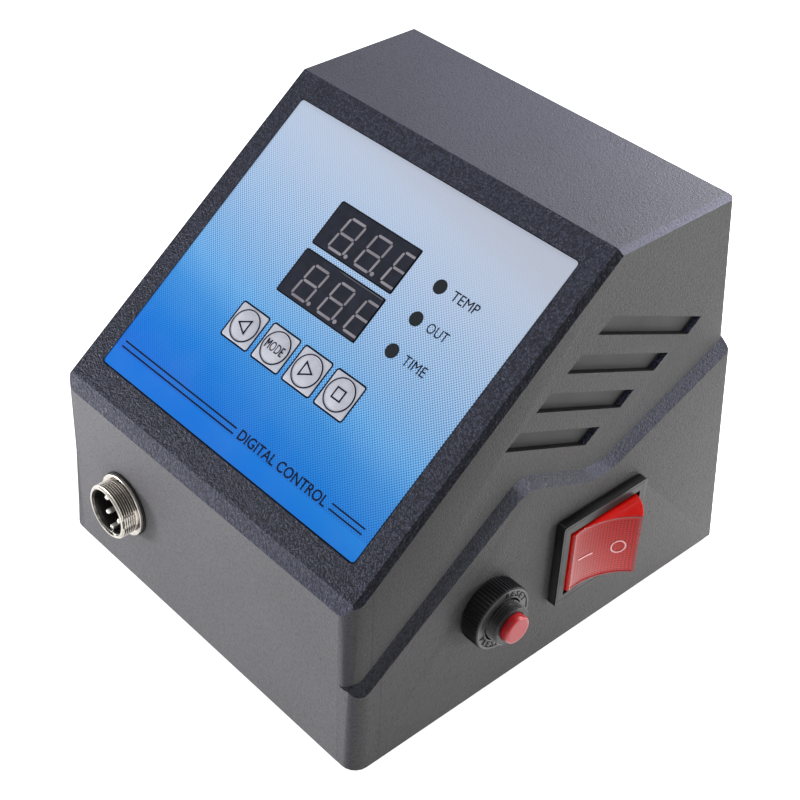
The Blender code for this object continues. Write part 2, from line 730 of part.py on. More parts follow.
def power_side(shop):
    """Power board on the base plate with transformer, triac on its heat sink and terminals."""
    thick = POWER_BOARD[2]
    board = block(POWER_BOARD, (*POWER_BOARD_AT, POWER_BOARD_LOW + thick / 2))
    power = shop.add("power_board", board, "circuit_board")
    legs = [
        disc(0.0025, BASE_TOP + GAP, POWER_BOARD_LOW + thick / 4, (x, y), 10)
        for x in LEG_X
        for y in LEG_Y
    ]
    shop.combine(power, shop.cutter("board_legs", joined(legs)), "UNION")
    transformer(shop)
    heat_sink(shop)

    height = TERMINAL_STRIP[2]
    strip = block(TERMINAL_STRIP, (*TERMINAL_AT, POWER_DECK + height / 2))
    terminals = shop.add("terminal_block", strip, "terminal_green")
    wells = []
    for index in range(TERMINAL_COUNT):
        x = TERMINAL_AT[0] + (index - (TERMINAL_COUNT - 1) / 2) * TERMINAL_PITCH
        wells.append(disc(0.0022, POWER_DECK + height / 2, 0.05, (x, TERMINAL_AT[1]), 8))
    shop.combine(terminals, shop.cutter("terminal_wells", joined(wells)), "DIFFERENCE")


def transformer(shop):
    """U-shaped core under a taped winding."""
    height = CORE[2]
    core = block(CORE, (*TRANSFORMER_AT, POWER_DECK + height / 2))
    core_obj = shop.add("transformer_core", core, "core_steel")
    coil_low = POWER_DECK + 0.0055
    tunnel_height = 0.015
    tunnel_middle = coil_low - 0.0005 + tunnel_height / 2
    tunnel = block((COIL[0] + 0.0012, 0.040, tunnel_height), (*TRANSFORMER_AT, tunnel_middle))
    shop.combine(core_obj, shop.cutter("core_notch", tunnel), "DIFFERENCE")
    coil = block(COIL, (*TRANSFORMER_AT, coil_low + COIL[2] / 2), 0.0020)
    shop.add("transformer_winding", coil, "winding_tape")


def heat_sink(shop):
    """Finned extrusion standing on the board with the triac against its flat back."""
    width, depth, height = SINK
    half = width / 2
    pitch = width / SINK_FINS
    profile = [(-half, 0), (half, 0)]
    for fin in range(SINK_FINS):
        right = half - fin * pitch
        profile.append((right, depth))
        profile.append((right - FIN_THICK, depth))
        if fin < SINK_FINS - 1:
            profile.append((right - FIN_THICK, SINK_WEB))
            profile.append((right - pitch, SINK_WEB))
    profile[-1] = (-half, depth)
    place = Matrix.Translation((*SINK_AT, POWER_DECK)) @ Matrix.Rotation(math.pi, 4, "Z")
    shop.add("heat_sink", prism(profile, 0, height), "aluminium", place)
    at = (SINK_AT[0], SINK_AT[1] + 0.0030, POWER_DECK + TRIAC[2])
    shop.add("power_triac", block(TRIAC, at), "chip")


# ---- Rocker switch ----


def rocker_profile():
    """Side outline of the rocker about its pivot: concave face, round ends, flat back."""
    tip_x = ROCKER_RADIUS * math.cos(ROCKER_TIP_ANGLE)
    tip_z = ROCKER_RADIUS * math.sin(ROCKER_TIP_ANGLE)
    bend = (tip_x**2 + ROCKER_SAG**2) / (2 * ROCKER_SAG)
    half = math.asin(tip_x / bend)
    centre_z = tip_z - ROCKER_SAG + bend
    face_steps = 10
    points = []
    for step in range(face_steps + 1):
        angle = -half + 2 * half * step / face_steps
        points.append((-bend * math.sin(angle), centre_z - bend * math.cos(angle)))
    low_angle = math.radians(-12)
    end_steps = 5
    left = []
    for step in range(1, end_steps + 1):
        angle = ROCKER_TIP_ANGLE + (low_angle - ROCKER_TIP_ANGLE) * step / end_steps
        left.append((-ROCKER_RADIUS * math.cos(angle), ROCKER_RADIUS * math.sin(angle)))
    right = [(-x, z) for x, z in reversed(left)]
    return points + left + right


def power_switch(shop):
    """Switch body with its bezel, the rocker on a vertical axis and four terminals."""
    place = side_frame(*SWITCH_AT)
    bezel = prism(rectangle(*SWITCH_BEZEL, 0.0008, 2), GAP, SWITCH_BEZEL_THICK)
    body = shop.add("switch_body", bezel, "black_plastic", place)
    barrel = prism(rectangle(*SWITCH_BODY[:2]), -SWITCH_BODY[2], GAP + 0.0004)
    shop.combine(body, shop.cutter("switch_barrel", barrel, place), "UNION")
    hollow = prism(rectangle(*SWITCH_OPENING), -0.0100, 0.01)
    shop.combine(body, shop.cutter("switch_hollow", hollow, place), "DIFFERENCE")

    outline = rocker_profile()
    half = ROCKER_HEIGHT / 2
    sections = [[(x, level, z) for x, z in outline] for level in (-half, half)]
    pivot = Matrix.Translation((0, 0, ROCKER_PIVOT)) @ Matrix.Rotation(-ROCKER_TILT, 4, "Y")
    shop.add("power_rocker", loft(sections), "rocker_red", place @ pivot)

    number = 0
    for x in (-0.0075, 0.0075):
        for y in (-0.006, 0.006):
            number += 1
            blade = block((0.0008, 0.0048, 0.0080), (x, y, -SWITCH_BODY[2] - GAP - 0.0040))
            shop.add(f"switch_terminal_{number}", blade, "brass", place)


# ---- Push-to-reset breaker ----


def ridged(radius, depth, high, low, ridges):
    """Profile points of a thread drawn as ridges, from z = high down to z = low."""
    pitch = (high - low) / ridges
    points = []
    for ridge in range(ridges):
        top = high - ridge * pitch
        points.append((radius - depth, top))
        points.append((radius, top - pitch * 0.5))
    points.append((radius - depth, low))
    return points


def toothed_outline(radius, depth, teeth):
    """Outline of a knurled edge."""
    points = []
    for tooth in range(2 * teeth):
        angle = math.pi * tooth / teeth
        reach = radius if tooth % 2 == 0 else radius - depth
        points.append((reach * math.cos(angle), reach * math.sin(angle)))
    return points


def breaker(shop):
    """Thermal breaker: body with threaded bushing, knurled nut, sprung button, terminals."""
    place = side_frame(*BREAKER_AT)
    inner = -WALL - GAP
    width, height, depth = BREAKER_BLOCK
    body = shop.add(
        "breaker_body", block((width, height, depth), (0, 0, inner - depth / 2)), "black_plastic", place
    )
    thread = ridged(BUSHING_RADIUS, 0.0004, BUSHING_END, NUT_END - 0.0002, 4)
    thread += [(BUSHING_RADIUS, NUT_END - 0.0008), (BUSHING_RADIUS, inner - 0.001)]
    shop.combine(body, shop.cutter("bushing", turned(thread, 24), place), "UNION")
    bore = disc(BUTTON_RADIUS + 0.0002, -0.0085, 0.02, (0, 0), 24)
    shop.combine(body, shop.cutter("button_bore", bore, place), "DIFFERENCE")

    knurl = prism(toothed_outline(NUT_RADIUS, 0.0005, NUT_TEETH), GAP, NUT_END)
    nut = shop.add("breaker_nut", knurl, "black_plastic", place)
    hole = disc(BUSHING_RADIUS + GAP, -0.01, 0.02, (0, 0), 24)
    shop.combine(nut, shop.cutter("nut_hole", hole, place), "DIFFERENCE")

    cap = [(BUTTON_RADIUS - 0.0007, BUTTON_END), (BUTTON_RADIUS, BUTTON_END - 0.0006)]
    cap.append((BUTTON_RADIUS, -0.0060))
    shop.add("reset_button", turned(cap, 24), "button_red", place)
    for number, y in enumerate((-0.010, 0.010), 1):
        blade = block((0.0063, 0.0008, 0.0090), (0, y, inner - depth - GAP - 0.0045))
        shop.add(f"breaker_terminal_{number}", blade, "brass", place)


# ---- Output connector ----


def connector(shop):
    """Round threaded panel connector: shell, gasket, insert with four pins, back nut."""
    place = front_frame(*CONNECTOR_AT)
    flange_foot, flange_top = FLANGE_LEVELS
    profile = ridged(BARREL_RADIUS, 0.0004, BARREL_END, flange_top, 5)
    profile += [(FLANGE_RADIUS, flange_top), (FLANGE_RADIUS, flange_foot)]
    profile += [(BARREL_RADIUS, flange_foot), (BARREL_RADIUS, BARREL_TAIL)]
    profile += [(BARREL_BORE, BARREL_TAIL), (BARREL_BORE, BARREL_END)]
    shop.add("connector_shell", turned(profile, 32, closed=True), "nickel", place)

    outer, inner = FLANGE_RADIUS + 0.0003, BARREL_RADIUS + GAP
    high, low = flange_foot - 0.0002, 0.0002
    gasket = turned([(outer, high), (outer, low), (inner, low), (inner, high)], 32, closed=True)
    shop.add("connector_gasket", gasket, "rubber", place)
    hexagon = prism(toothed_outline(BACK_NUT_RADIUS, 0.0, 3), -2 * WALL, -WALL - GAP)
    back_nut = shop.add("connector_nut", hexagon, "nickel", place)
    hole = disc(BARREL_RADIUS + GAP, -0.02, 0.01, (0, 0), 24)
    shop.combine(back_nut, shop.cutter("back_nut_hole", hole, place), "DIFFERENCE")

    insert = disc(BARREL_BORE - GAP, *INSERT_LEVELS, (0, 0), 24)
    insert_obj = shop.add("connector_insert", insert, "black_plastic", place)
    spots = [(sx * PIN_SQUARE, sy * PIN_SQUARE) for sx in (-1, 1) for sy in (-1, 1)]
    holes = [disc(PIN_RADIUS + GAP, -0.02, 0.01, at, 10) for at in spots]
    shop.combine(insert_obj, shop.cutter("pin_holes", joined(holes), place), "DIFFERENCE")
    for number, at in enumerate(spots, 1):
        tail, tip = PIN_LEVELS
        pin = turned([(PIN_RADIUS / 2, tip), (PIN_RADIUS, tip - 0.0006), (PIN_RADIUS, tail)], 10)
        bmesh.ops.translate(pin, vec=(at[0], at[1], 0), verts=pin.verts)
        shop.add(f"connector_pin_{number}", pin, "nickel", place)


# ---- Mains inlet ----


def mains_inlet(shop):
    """Three-pin appliance inlet in the back wall."""
    place = back_frame(*INLET_AT)
    face = prism(rectangle(*INLET_FACE, 0.002, 3), GAP, INLET_FLANGE)
    inlet = shop.add("inlet_body", face, "black_plastic", place)
    barrel = prism(rectangle(*INLET_BODY[:2]), -INLET_BODY[2], GAP + 0.0004)
    shop.combine(inlet, shop.cutter("inlet_barrel", barrel, place), "UNION")
    half_x, half_y = INLET_SOCKET[0] / 2, INLET_SOCKET[1] / 2
    corner = INLET_SOCKET_CORNER
    outline = [(half_x, half_y - corner), (half_x - corner, half_y), (-half_x + corner, half_y)]
    outline += [(-half_x, half_y - corner), (-half_x, -half_y), (half_x, -half_y)]
    socket = prism(outline, -INLET_SOCKET_DEPTH, 0.01)
    shop.combine(inlet, shop.cutter("inlet_socket", socket, place), "DIFFERENCE")
    width, height, _ = INLET_BLADE
    for name, (x, y) in INLET_BLADES.items():
        slot = block((width + 2 * GAP, height + 2 * GAP, 0.02), (x, y, -0.018))
        shop.combine(inlet, shop.cutter(f"inlet_{name}_slot", slot, place), "DIFFERENCE")
        blade = block(INLET_BLADE, (x, y, -0.0125), 0.0003)
        shop.add(f"inlet_pin_{name}", blade, "nickel", place)


def main():
    """Build the whole control box."""
    shop = Workshop()
    housing(shop)
    base(shop)
    overlay_and_keys(shop)
    control_board(shop)
    power_side(shop)
    power_switch(shop)
    breaker(shop)
    connector(shop)
    mains_inlet(shop)


main()
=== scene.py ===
import math

import bmesh
import bpy
from mathutils import Matrix, Vector


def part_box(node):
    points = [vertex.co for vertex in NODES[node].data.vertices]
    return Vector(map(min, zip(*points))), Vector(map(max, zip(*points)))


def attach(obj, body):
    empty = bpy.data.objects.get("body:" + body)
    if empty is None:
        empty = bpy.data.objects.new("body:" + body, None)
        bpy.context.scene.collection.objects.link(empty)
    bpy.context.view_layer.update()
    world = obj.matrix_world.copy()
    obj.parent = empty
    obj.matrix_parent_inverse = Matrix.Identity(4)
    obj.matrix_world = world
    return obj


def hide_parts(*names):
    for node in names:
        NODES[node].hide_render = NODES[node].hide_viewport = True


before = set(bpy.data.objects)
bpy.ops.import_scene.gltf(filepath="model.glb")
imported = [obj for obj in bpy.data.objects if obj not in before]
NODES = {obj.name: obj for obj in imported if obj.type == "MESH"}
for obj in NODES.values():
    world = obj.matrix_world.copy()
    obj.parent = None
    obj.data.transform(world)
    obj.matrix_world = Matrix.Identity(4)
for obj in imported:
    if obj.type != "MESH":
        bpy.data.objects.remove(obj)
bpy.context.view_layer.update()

MM = 0.001
ROOT = "enclosure"

# Lengths are in millimetres, from ORIGIN at the foot of the front wall's middle.
SHELL_LOW, SHELL_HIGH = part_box("housing_shell")
ORIGIN = Vector(((SHELL_LOW.x + SHELL_HIGH.x) / 2, SHELL_LOW.y, SHELL_LOW.z))
HEIGHT, FOOT_Z, FOLD_Y = 122.5, 54.7, 84.1  # top, foot of the slope, head of the slope
SLOPE = math.atan2(HEIGHT - FOOT_Z, FOLD_Y)
SLOPE_NORMAL = Vector((0, -math.sin(SLOPE), math.cos(SLOPE)))
SIDE_X = 63.4


def at(x, y, z):
    """A point given in millimetres from the foot of the front wall's middle."""
    return ORIGIN + Vector((x, y, z)) * MM


def frame_at(origin, x_axis, y_axis, z_axis):
    """A placement matrix from three axes, with millimetres as its unit."""
    axes = [Vector(axis).normalized() * MM for axis in (x_axis, y_axis, z_axis)]
    matrix = Matrix([(axes[0][i], axes[1][i], axes[2][i]) for i in range(3)]).to_4x4()
    matrix.translation = origin
    return matrix


PANEL = frame_at(
    at(0, 0, FOOT_Z), (1, 0, 0), (0, math.cos(SLOPE), math.sin(SLOPE)), SLOPE_NORMAL
)


def front_frame(x, z):
    """On the front wall: X right, Y up, Z towards the viewer of the front."""
    return frame_at(at(x, 0, z), (1, 0, 0), (0, 0, 1), (0, -1, 0))


def side_frame(y, z):
    """On the right wall: X towards the back, Y up, Z outwards."""
    return frame_at(at(SIDE_X, y, z), (0, 1, 0), (0, 0, 1), (1, 0, 0))


# ---------------------------------------------------------------- node helpers


class Nodes:
    """A short way to write a material's node tree."""

    def __init__(self, name):
        self.material = bpy.data.materials.new(name)
        self.material.use_nodes = True
        self.tree = self.material.node_tree
        self.shader = self.tree.nodes["Principled BSDF"]

    def new(self, kind, **values):
        node = self.tree.nodes.new("ShaderNode" + kind)
        for key, value in values.items():
            setattr(node, key, value)
        return node

    def link(self, source, target):
        self.tree.links.new(source, target)

    def feed(self, target, value):
        """Link an output to a socket, or set the socket to a number or colour."""
        if isinstance(value, bpy.types.NodeSocket):
            self.link(value, target)
        elif target.type == "RGBA":
            target.default_value = (*value, 1)
        else:
            target.default_value = value

    def math(self, operation, a, b=0.0):
        node = self.new("Math", operation=operation)
        for socket, value in zip(node.inputs, (a, b)):
            self.feed(socket, value)
        return node.outputs[0]

    def times(self, a, b):
        return self.math("MULTIPLY", a, b)

    def smooth(self, value, low, high, start=0.0, end=1.0):
        """Map value from low..high to start..end along a smooth step."""
        node = self.new("MapRange", interpolation_type="SMOOTHSTEP")
        for socket, number in zip(node.inputs[:5], (value, low, high, start, end)):
            self.feed(socket, number)
        return node.outputs[0]

    def mix(self, factor, a, b, blend="MIX"):
        node = self.new("Mix", data_type="RGBA", blend_type=blend)
        for index, value in ((0, factor), (6, a), (7, b)):
            self.feed(node.inputs[index], value)
        return node.outputs[2]

    def ramp(self, value, stops):
        node = self.new("ValToRGB")
        elements = node.color_ramp.elements
        while len(elements) < len(stops):
            elements.new(0.5)
        for element, (position, colour) in zip(elements, stops):
            element.position = position
            element.color = (*colour, 1)
        self.feed(node.inputs[0], value)
        return node.outputs[0]

    def noise(self, scale, detail=2.0, roughness=0.5, output="Fac"):
        node = self.new("TexNoise")
        node.inputs["Scale"].default_value = scale
        node.inputs["Detail"].default_value = detail
        node.inputs["Roughness"].default_value = roughness
        self.link(self.place(), node.inputs["Vector"])
        return node.outputs[output]

    def cells(self, scale, smoothness, vector):
        node = self.new("TexVoronoi", feature="SMOOTH_F1")
        node.inputs["Scale"].default_value = scale
        node.inputs["Smoothness"].default_value = smoothness
        self.link(vector, node.inputs["Vector"])
        return node.outputs["Distance"]

    def place(self):
        return self.new("TexCoord").outputs["Object"]

    def split(self, vector):
        """The three parts of a vector."""
        node = self.new("SeparateXYZ")
        self.link(vector, node.inputs[0])
        return node.outputs[0], node.outputs[1], node.outputs[2]

    def normal(self):
        return self.split(self.new("NewGeometry").outputs["Normal"])

    def uv(self):
        return self.split(self.new("TexCoord").outputs["UV"])[:2]

    def grey(self, value):
        node = self.new("CombineColor")
        for socket in node.inputs[:3]:
            self.feed(socket, value)
        return node.outputs[0]

    def bump(self, height, distance, strength=1.0):
        node = self.new("Bump")
        node.inputs["Strength"].default_value = strength
        node.inputs["Distance"].default_value = distance
        self.link(height, node.inputs["Height"])
        return node.outputs[0]

    def finish(self, colour, roughness, normal=None, shine=0.5, metallic=0.0):
        """Feed the shader. shine is its specular level."""
        self.feed(self.shader.inputs["Base Color"], colour)
        self.feed(self.shader.inputs["Roughness"], roughness)
        if normal is not None:
            self.link(normal, self.shader.inputs["Normal"])
        self.shader.inputs["Specular IOR Level"].default_value = shine
        self.shader.inputs["Metallic"].default_value = metallic
        return self.material


def srgb(r, g, b):
    """Linear colour of an 8-bit screen colour."""
    channels = []
    for c in (r, g, b):
        c /= 255
        channels.append(c / 12.92 if c <= 0.04045 else ((c + 0.055) / 1.055) ** 2.4)
    return tuple(channels)


# ---------------------------------------------------------------- materials

# Painted light and shade of the housing: each facing of the wall takes its own grey, lighter where
# light falls on it and darker where it is shaded.
WALL_FRONT_LIT = srgb(87, 86, 90)
WALL_SIDE_SHADED = srgb(50, 49, 50)
WALL_TOP_LIT = srgb(65, 65, 75)
WALL_EDGE_LIT = srgb(78, 78, 92)
WALL_CORNER_SHADE = srgb(48, 47, 55)
WALL_SEAM = srgb(20, 20, 22)
WALL_GRAIN, COARSE_GRAIN = 0.62, 0.78
HALFTONE_PITCH = 0.663
HALFTONE_FIELD = (104.2, 90.3)  # the screen's width and height over the whole film
PAPER = (
    (0.00, srgb(0, 112, 214)),
    (0.06, srgb(0, 118, 216)),
    (0.16, srgb(22, 132, 220)),
    (0.27, srgb(66, 154, 226)),
    (0.37, srgb(116, 186, 240)),
    (0.48, srgb(148, 196, 238)),
    (0.60, srgb(172, 206, 240)),
    (0.76, srgb(188, 209, 236)),
    (0.90, srgb(192, 206, 228)),
    (1.00, srgb(190, 197, 214)),
)
HALFTONE_INK = (
    (0.0, srgb(0, 84, 196)),
    (0.3, srgb(12, 96, 190)),
    (0.5, srgb(60, 108, 178)),
    (0.75, srgb(114, 140, 184)),
    (1.0, srgb(176, 186, 206)),
)


def leather(n, size, fine):
    """Height of a leather grain: irregular pads with creases, size millimetres across."""
    scale = 1000 / size
    moved = n.new("VectorMath", operation="MULTIPLY_ADD")
    n.link(n.noise(scale * 0.9, 1.0, output="Color"), moved.inputs[0])
    moved.inputs[1].default_value = (2.4 / scale,) * 3
    n.link(n.place(), moved.inputs[2])
    cells = n.cells(scale, 0.35, moved.outputs[0])
    grit = n.noise(scale * 1.6, 1.0)
    return n.math("ADD", n.times(cells, fine - 1), n.times(grit, fine))


def wall_material():
    """Dark grey moulding with a soft grain, and painted light and shade: lighter on its front, top
    and sloping edges, darker on its front corners and higher up its walls.
    """
    n = Nodes("housing_wall")
    across, along, up = n.normal()
    _, depth, level = n.split(n.place())
    # Painted light: the front, the top and the sloping edges take lighter greys than the side
    # walls.
    front = n.smooth(along, -0.86, -0.99)
    top = n.smooth(up, 0.80, 0.97)
    edge = n.smooth(up, 0.35, 0.6)
    # Painted shade: a dark band down the rounded upright front corners.
    slant = n.math("ABSOLUTE", n.math("SUBTRACT", n.math("ABSOLUTE", across), 0.45))
    turn = n.times(n.smooth(slant, 0.4, 0.1), n.smooth(along, -0.6, -0.8))
    # Painted shade: the side and back walls darken towards the top.
    high = n.smooth(level, ORIGIN.z + 0.045, ORIGIN.z + 0.1, 1.0, 0.62)
    side = n.mix(1.0, WALL_SIDE_SHADED, n.grey(high), "MULTIPLY")
    colour = n.mix(front, side, WALL_FRONT_LIT)
    colour = n.mix(n.times(turn, 0.8), colour, WALL_CORNER_SHADE)
    colour = n.mix(edge, colour, WALL_EDGE_LIT)
    colour = n.mix(top, colour, WALL_TOP_LIT)
    # The mould's parting line, upright on the right wall just behind the front corner.
    seam = n.smooth(level, ORIGIN.z + 0.031, ORIGIN.z + 0.033, 0.0083, 0.0072)
    off = n.math("ABSOLUTE", n.math("SUBTRACT", n.math("SUBTRACT", depth, ORIGIN.y), seam))
    line = n.times(n.smooth(off, 0.00022, 0.0001), n.smooth(across, 0.9, 0.97))
    colour = n.mix(n.times(line, 0.45), colour, WALL_SEAM)
    height = leather(n, WALL_GRAIN, 0.55)
    tone = n.smooth(height, -0.25, 0.28, 0.82, 1.16)
    cloud = n.smooth(n.noise(30, 3.0), 0.3, 0.7, 0.96, 1.04)
    colour = n.mix(1.0, colour, n.grey(n.times(tone, cloud)), "MULTIPLY")
    rough = n.smooth(height, -0.4, 0.3, 0.62, 0.5)
    return n.finish(colour, rough, n.bump(height, 0.00018), 0.18)


def coarse_material(name, light, dark, low, high, depth, shine=0.3):
    """The coarser grain round the sloped panel and on the step: dark, with painted highlights on
    its ridges.
    """
    n = Nodes(name)
    height = leather(n, COARSE_GRAIN, 0.45)
    # Painted highlights: the ridge tops of the grain take the light colour.
    colour = n.mix(n.smooth(height, low, high), dark, light)
    rough = n.smooth(height, low, high, 0.6, 0.38)
    return n.finish(colour, rough, n.bump(height, depth), shine)


def strip_material():
    """Edge of the step, with painted shade and light: near black where it climbs, lighter beyond
    its peak, with painted highlights on its ridges.
    """
    n = Nodes("housing_strip")
    height = leather(n, COARSE_GRAIN, 0.45)
    along = n.normal()[1]
    # Painted light: faces past the step's peak take the lighter copy; painted shade where it
    # climbs.
    after = n.smooth(along, -0.5, -0.05)
    after = n.times(after, n.smooth(along, 0.0, 0.22, 1.0, 0.3))
    light = n.mix(after, srgb(32, 34, 44), srgb(67, 67, 80))
    dark = n.mix(after, srgb(12, 12, 17), srgb(49, 50, 62))
    colour = n.mix(n.smooth(height, -0.35, 0.3), dark, light)
    rough = n.smooth(height, -0.35, 0.3, 0.6, 0.42)
    return n.finish(colour, rough, n.bump(height, 0.0003), 0.22)


def plain_plastic(
    name, colour, roughness, shine=0.5, grain=1500, depth=0.00002, metallic=0.0
):
    """Smooth moulded plastic with a faint orange peel and slight wear in its gloss."""
    n = Nodes(name)
    peel = n.noise(grain, 3.0, 0.6)
    cloud = n.noise(140, 3.0)
    darker = tuple(c * 0.75 for c in colour)
    tone = n.mix(n.smooth(cloud, 0.3, 0.7), darker, colour)
    rough = n.smooth(cloud, 0.3, 0.75, roughness - 0.05, roughness + 0.07)
    return n.finish(tone, rough, n.bump(peel, depth), shine, metallic)


def plated_metal(name, colour, roughness):
    """Nickel plate: slight cloudiness and very fine machining."""
    n = Nodes(name)
    cloud = n.noise(420, 4.0, 0.65)
    lines = n.noise(2600, 2.0)
    dull = tuple(c * 0.72 for c in colour)
    tone = n.mix(n.smooth(cloud, 0.35, 0.75), colour, dull)
    rough = n.smooth(cloud, 0.3, 0.7, roughness - 0.05, roughness + 0.1)
    return n.finish(tone, rough, n.bump(lines, 0.00001, 0.6), metallic=1.0)


def overlay_material():
    """Printed film: blue at the foot fading to pale grey-blue, under a fine halftone screen."""
    n = Nodes("overlay_print")
    x, v = n.uv()
    shade = n.math("ADD", v, n.times(n.math("SUBTRACT", x, 0.5), 0.16))
    waves = []
    for sign in (1, -1):
        along = n.math(
            "ADD", n.times(x, HALFTONE_FIELD[0]), n.times(v, HALFTONE_FIELD[1] * sign)
        )
        waves.append(n.math("COSINE", n.times(along, 2 * math.pi / HALFTONE_PITCH / math.sqrt(2))))
    dots = n.smooth(n.math("ADD", *waves), -0.1, 1.3)
    fade = n.smooth(shade, 1.0, 0.55, 0.35, 1.0)
    above_foot = n.smooth(v, 0.058, 0.064)
    cover = n.times(n.times(dots, fade), above_foot)
    colour = n.mix(cover, n.ramp(shade, PAPER), n.ramp(shade, HALFTONE_INK))
    mottle = n.smooth(n.noise(60, 3.0), 0.3, 0.8, 0.0, 0.02)
    colour = n.mix(mottle, colour, srgb(225, 230, 240))
    return n.finish(colour, 0.42, n.bump(n.noise(900, 2.0), 0.000006, 0.5), 0.15)


def display_material():
    """Tinted display window: near black with a faint blue-grey cast."""
    n = Nodes("display_tint")
    cloud = n.noise(260, 4.0, 0.6)
    tone = n.mix(n.smooth(cloud, 0.35, 0.75), srgb(28, 31, 44), srgb(38, 41, 56))
    dust = n.smooth(n.noise(2200, 2.0), 0.74, 0.80)
    tone = n.mix(n.times(dust, 0.35), tone, srgb(90, 94, 108))
    return n.finish(tone, n.smooth(cloud, 0.3, 0.8, 0.3, 0.45), shine=0.15)


def silver_material():
    """Silver printed film of the keys, brushed very finely."""
    n = Nodes("key_film")
    cloud = n.noise(300, 3.0)
    grain = n.noise(3000, 2.0)
    tone = n.mix(n.smooth(cloud, 0.3, 0.8), srgb(190, 192, 204), srgb(208, 210, 220))
    tone = n.mix(n.smooth(grain, 0.4, 0.7, 0.0, 0.2), tone, srgb(160, 162, 176))
    return n.finish(tone, 0.4, n.bump(grain, 0.000004), 0.3, 0.1)


def rocker_material():
    """Translucent red plastic over a grid of small moulded prisms, paler towards one end."""
    n = Nodes("rocker_red")
    place = n.uv()
    waves = []
    for along, pitch in zip(place, (0.95, 0.80)):
        waves.append(n.math("COSINE", n.times(along, 2 * math.pi / pitch)))
    dots = n.smooth(n.math("ADD", *waves), 0.0, 1.5)
    for along, rim in zip(place, (8.8, 9.0)):
        dots = n.times(dots, n.smooth(n.math("ABSOLUTE", along), rim + 0.3, rim))
    base = n.mix(n.smooth(place[0], -11, 10), srgb(130, 30, 27), srgb(150, 15, 11))
    tone = n.mix(n.times(dots, 0.9), base, srgb(66, 4, 6))
    return n.finish(tone, 0.28, n.bump(n.times(dots, -1.0), 0.00006, 0.5), 0.18)


PRINTED = (2400, 0.000002)  # grain and depth of ink

MATERIALS = {
    "wall": wall_material(),
    # Painted shade: the sloped frame is darker than the walls; the slope's foot takes a lighter
    # copy and the chamfers beside the slope a darker copy of the same grain.
    "frame": coarse_material(
        "housing_frame", srgb(59, 63, 86), srgb(27, 29, 43), -0.16, 0.22, 0.0007
    ),
    "foot": coarse_material(
        "housing_foot", srgb(65, 68, 91), srgb(38, 40, 56), -0.16, 0.24, 0.0006
    ),
    "strip": strip_material(),
    "rise": coarse_material(
        "housing_rise", srgb(33, 36, 50), srgb(14, 15, 24), -0.12, 0.26, 0.0005, 0.15
    ),
    # Painted shade: the walls of the side slots are near black where shade falls in them.
    "recess": plain_plastic("slot_wall_shade", srgb(9, 9, 12), 0.6, 0.15),
    "floor": plain_plastic("slot_floor", srgb(42, 41, 42), 0.55, 0.15, 300),
    "black": plain_plastic("black_plastic", srgb(15, 15, 18), 0.4, 0.3),
    "bezel": plain_plastic("bezel_plastic", srgb(13, 13, 14), 0.4, 0.25),
    # Painted light: the nut's outward face is a lighter copy of the black plastic.
    "nut_face_lit": plain_plastic("nut_face_lit", srgb(54, 54, 54), 0.4, 0.4, 900, 0.00004),
    "dark": plain_plastic("shadow_plastic", srgb(5, 5, 7), 0.5, 0.08),
    "rubber": plain_plastic("foot_rubber", srgb(24, 24, 25), 0.85, 0.5, 900, 0.00006),
    "nickel": plated_metal("nickel_plate", srgb(206, 200, 192), 0.22),
    # Painted shade: the thread roots take a darker copy of the nickel.
    "shaded_groove": plated_metal("thread_root_shade", srgb(104, 98, 94), 0.32),
    "pin": plated_metal("silvered_pin", srgb(250, 248, 244), 0.35),
    "liner": plain_plastic("barrel_lining", srgb(22, 19, 18), 0.3, 0.6),
    "brass": plated_metal("tinned_brass", srgb(214, 182, 120), 0.3),
    "steel": plated_metal("zinc_steel", srgb(186, 188, 194), 0.34),
    "overlay": overlay_material(),
    "edge": plain_plastic("overlay_edge", srgb(14, 20, 36), 0.5, 0.1),
    "ink": plain_plastic("print_ink", srgb(12, 20, 48), 0.5, 0.1, *PRINTED),
    "display": display_material(),
    "segment": plain_plastic("unlit_segment", srgb(150, 146, 154), 0.5, 0.1, *PRINTED),
    "glint": plain_plastic("window_glint", srgb(96, 96, 104), 0.5, 0.1, *PRINTED),
    "lamp": plain_plastic("unlit_lamp", srgb(20, 28, 36), 0.3, 0.2),
    "silver": silver_material(),
    "rocker": rocker_material(),
    "rocker_side": plain_plastic("rocker_side_red", srgb(180, 10, 3), 0.2, 0.3, 900, 0.000015),
    "rocker_lip": plain_plastic("rocker_lip_red", srgb(112, 24, 24), 0.25, 0.4),
    "mark": plain_plastic("white_mark", srgb(204, 146, 148), 0.35, 0.5, 2400, 0.000004),
    "button": plain_plastic("button_red", srgb(154, 12, 20), 0.3, 0.4, 900, 0.00001),
    "button_face": plain_plastic("button_face", srgb(133, 42, 45), 0.4, 0.3, 900, 0.00001),
    "board": plain_plastic("board_mask", srgb(18, 92, 48), 0.4),
    "chip": plain_plastic("chip_plastic", srgb(30, 30, 32), 0.5),
    "core": plain_plastic("core_steel", srgb(92, 92, 96), 0.5, metallic=0.7),
    "tape": plain_plastic("winding_tape", srgb(206, 168, 66), 0.5),
    "sink": plated_metal("sink_aluminium", srgb(190, 192, 196), 0.35),
    "terminal": plain_plastic("terminal_green", srgb(28, 130, 66), 0.42),
}


# ---------------------------------------------------------------- mesh helpers


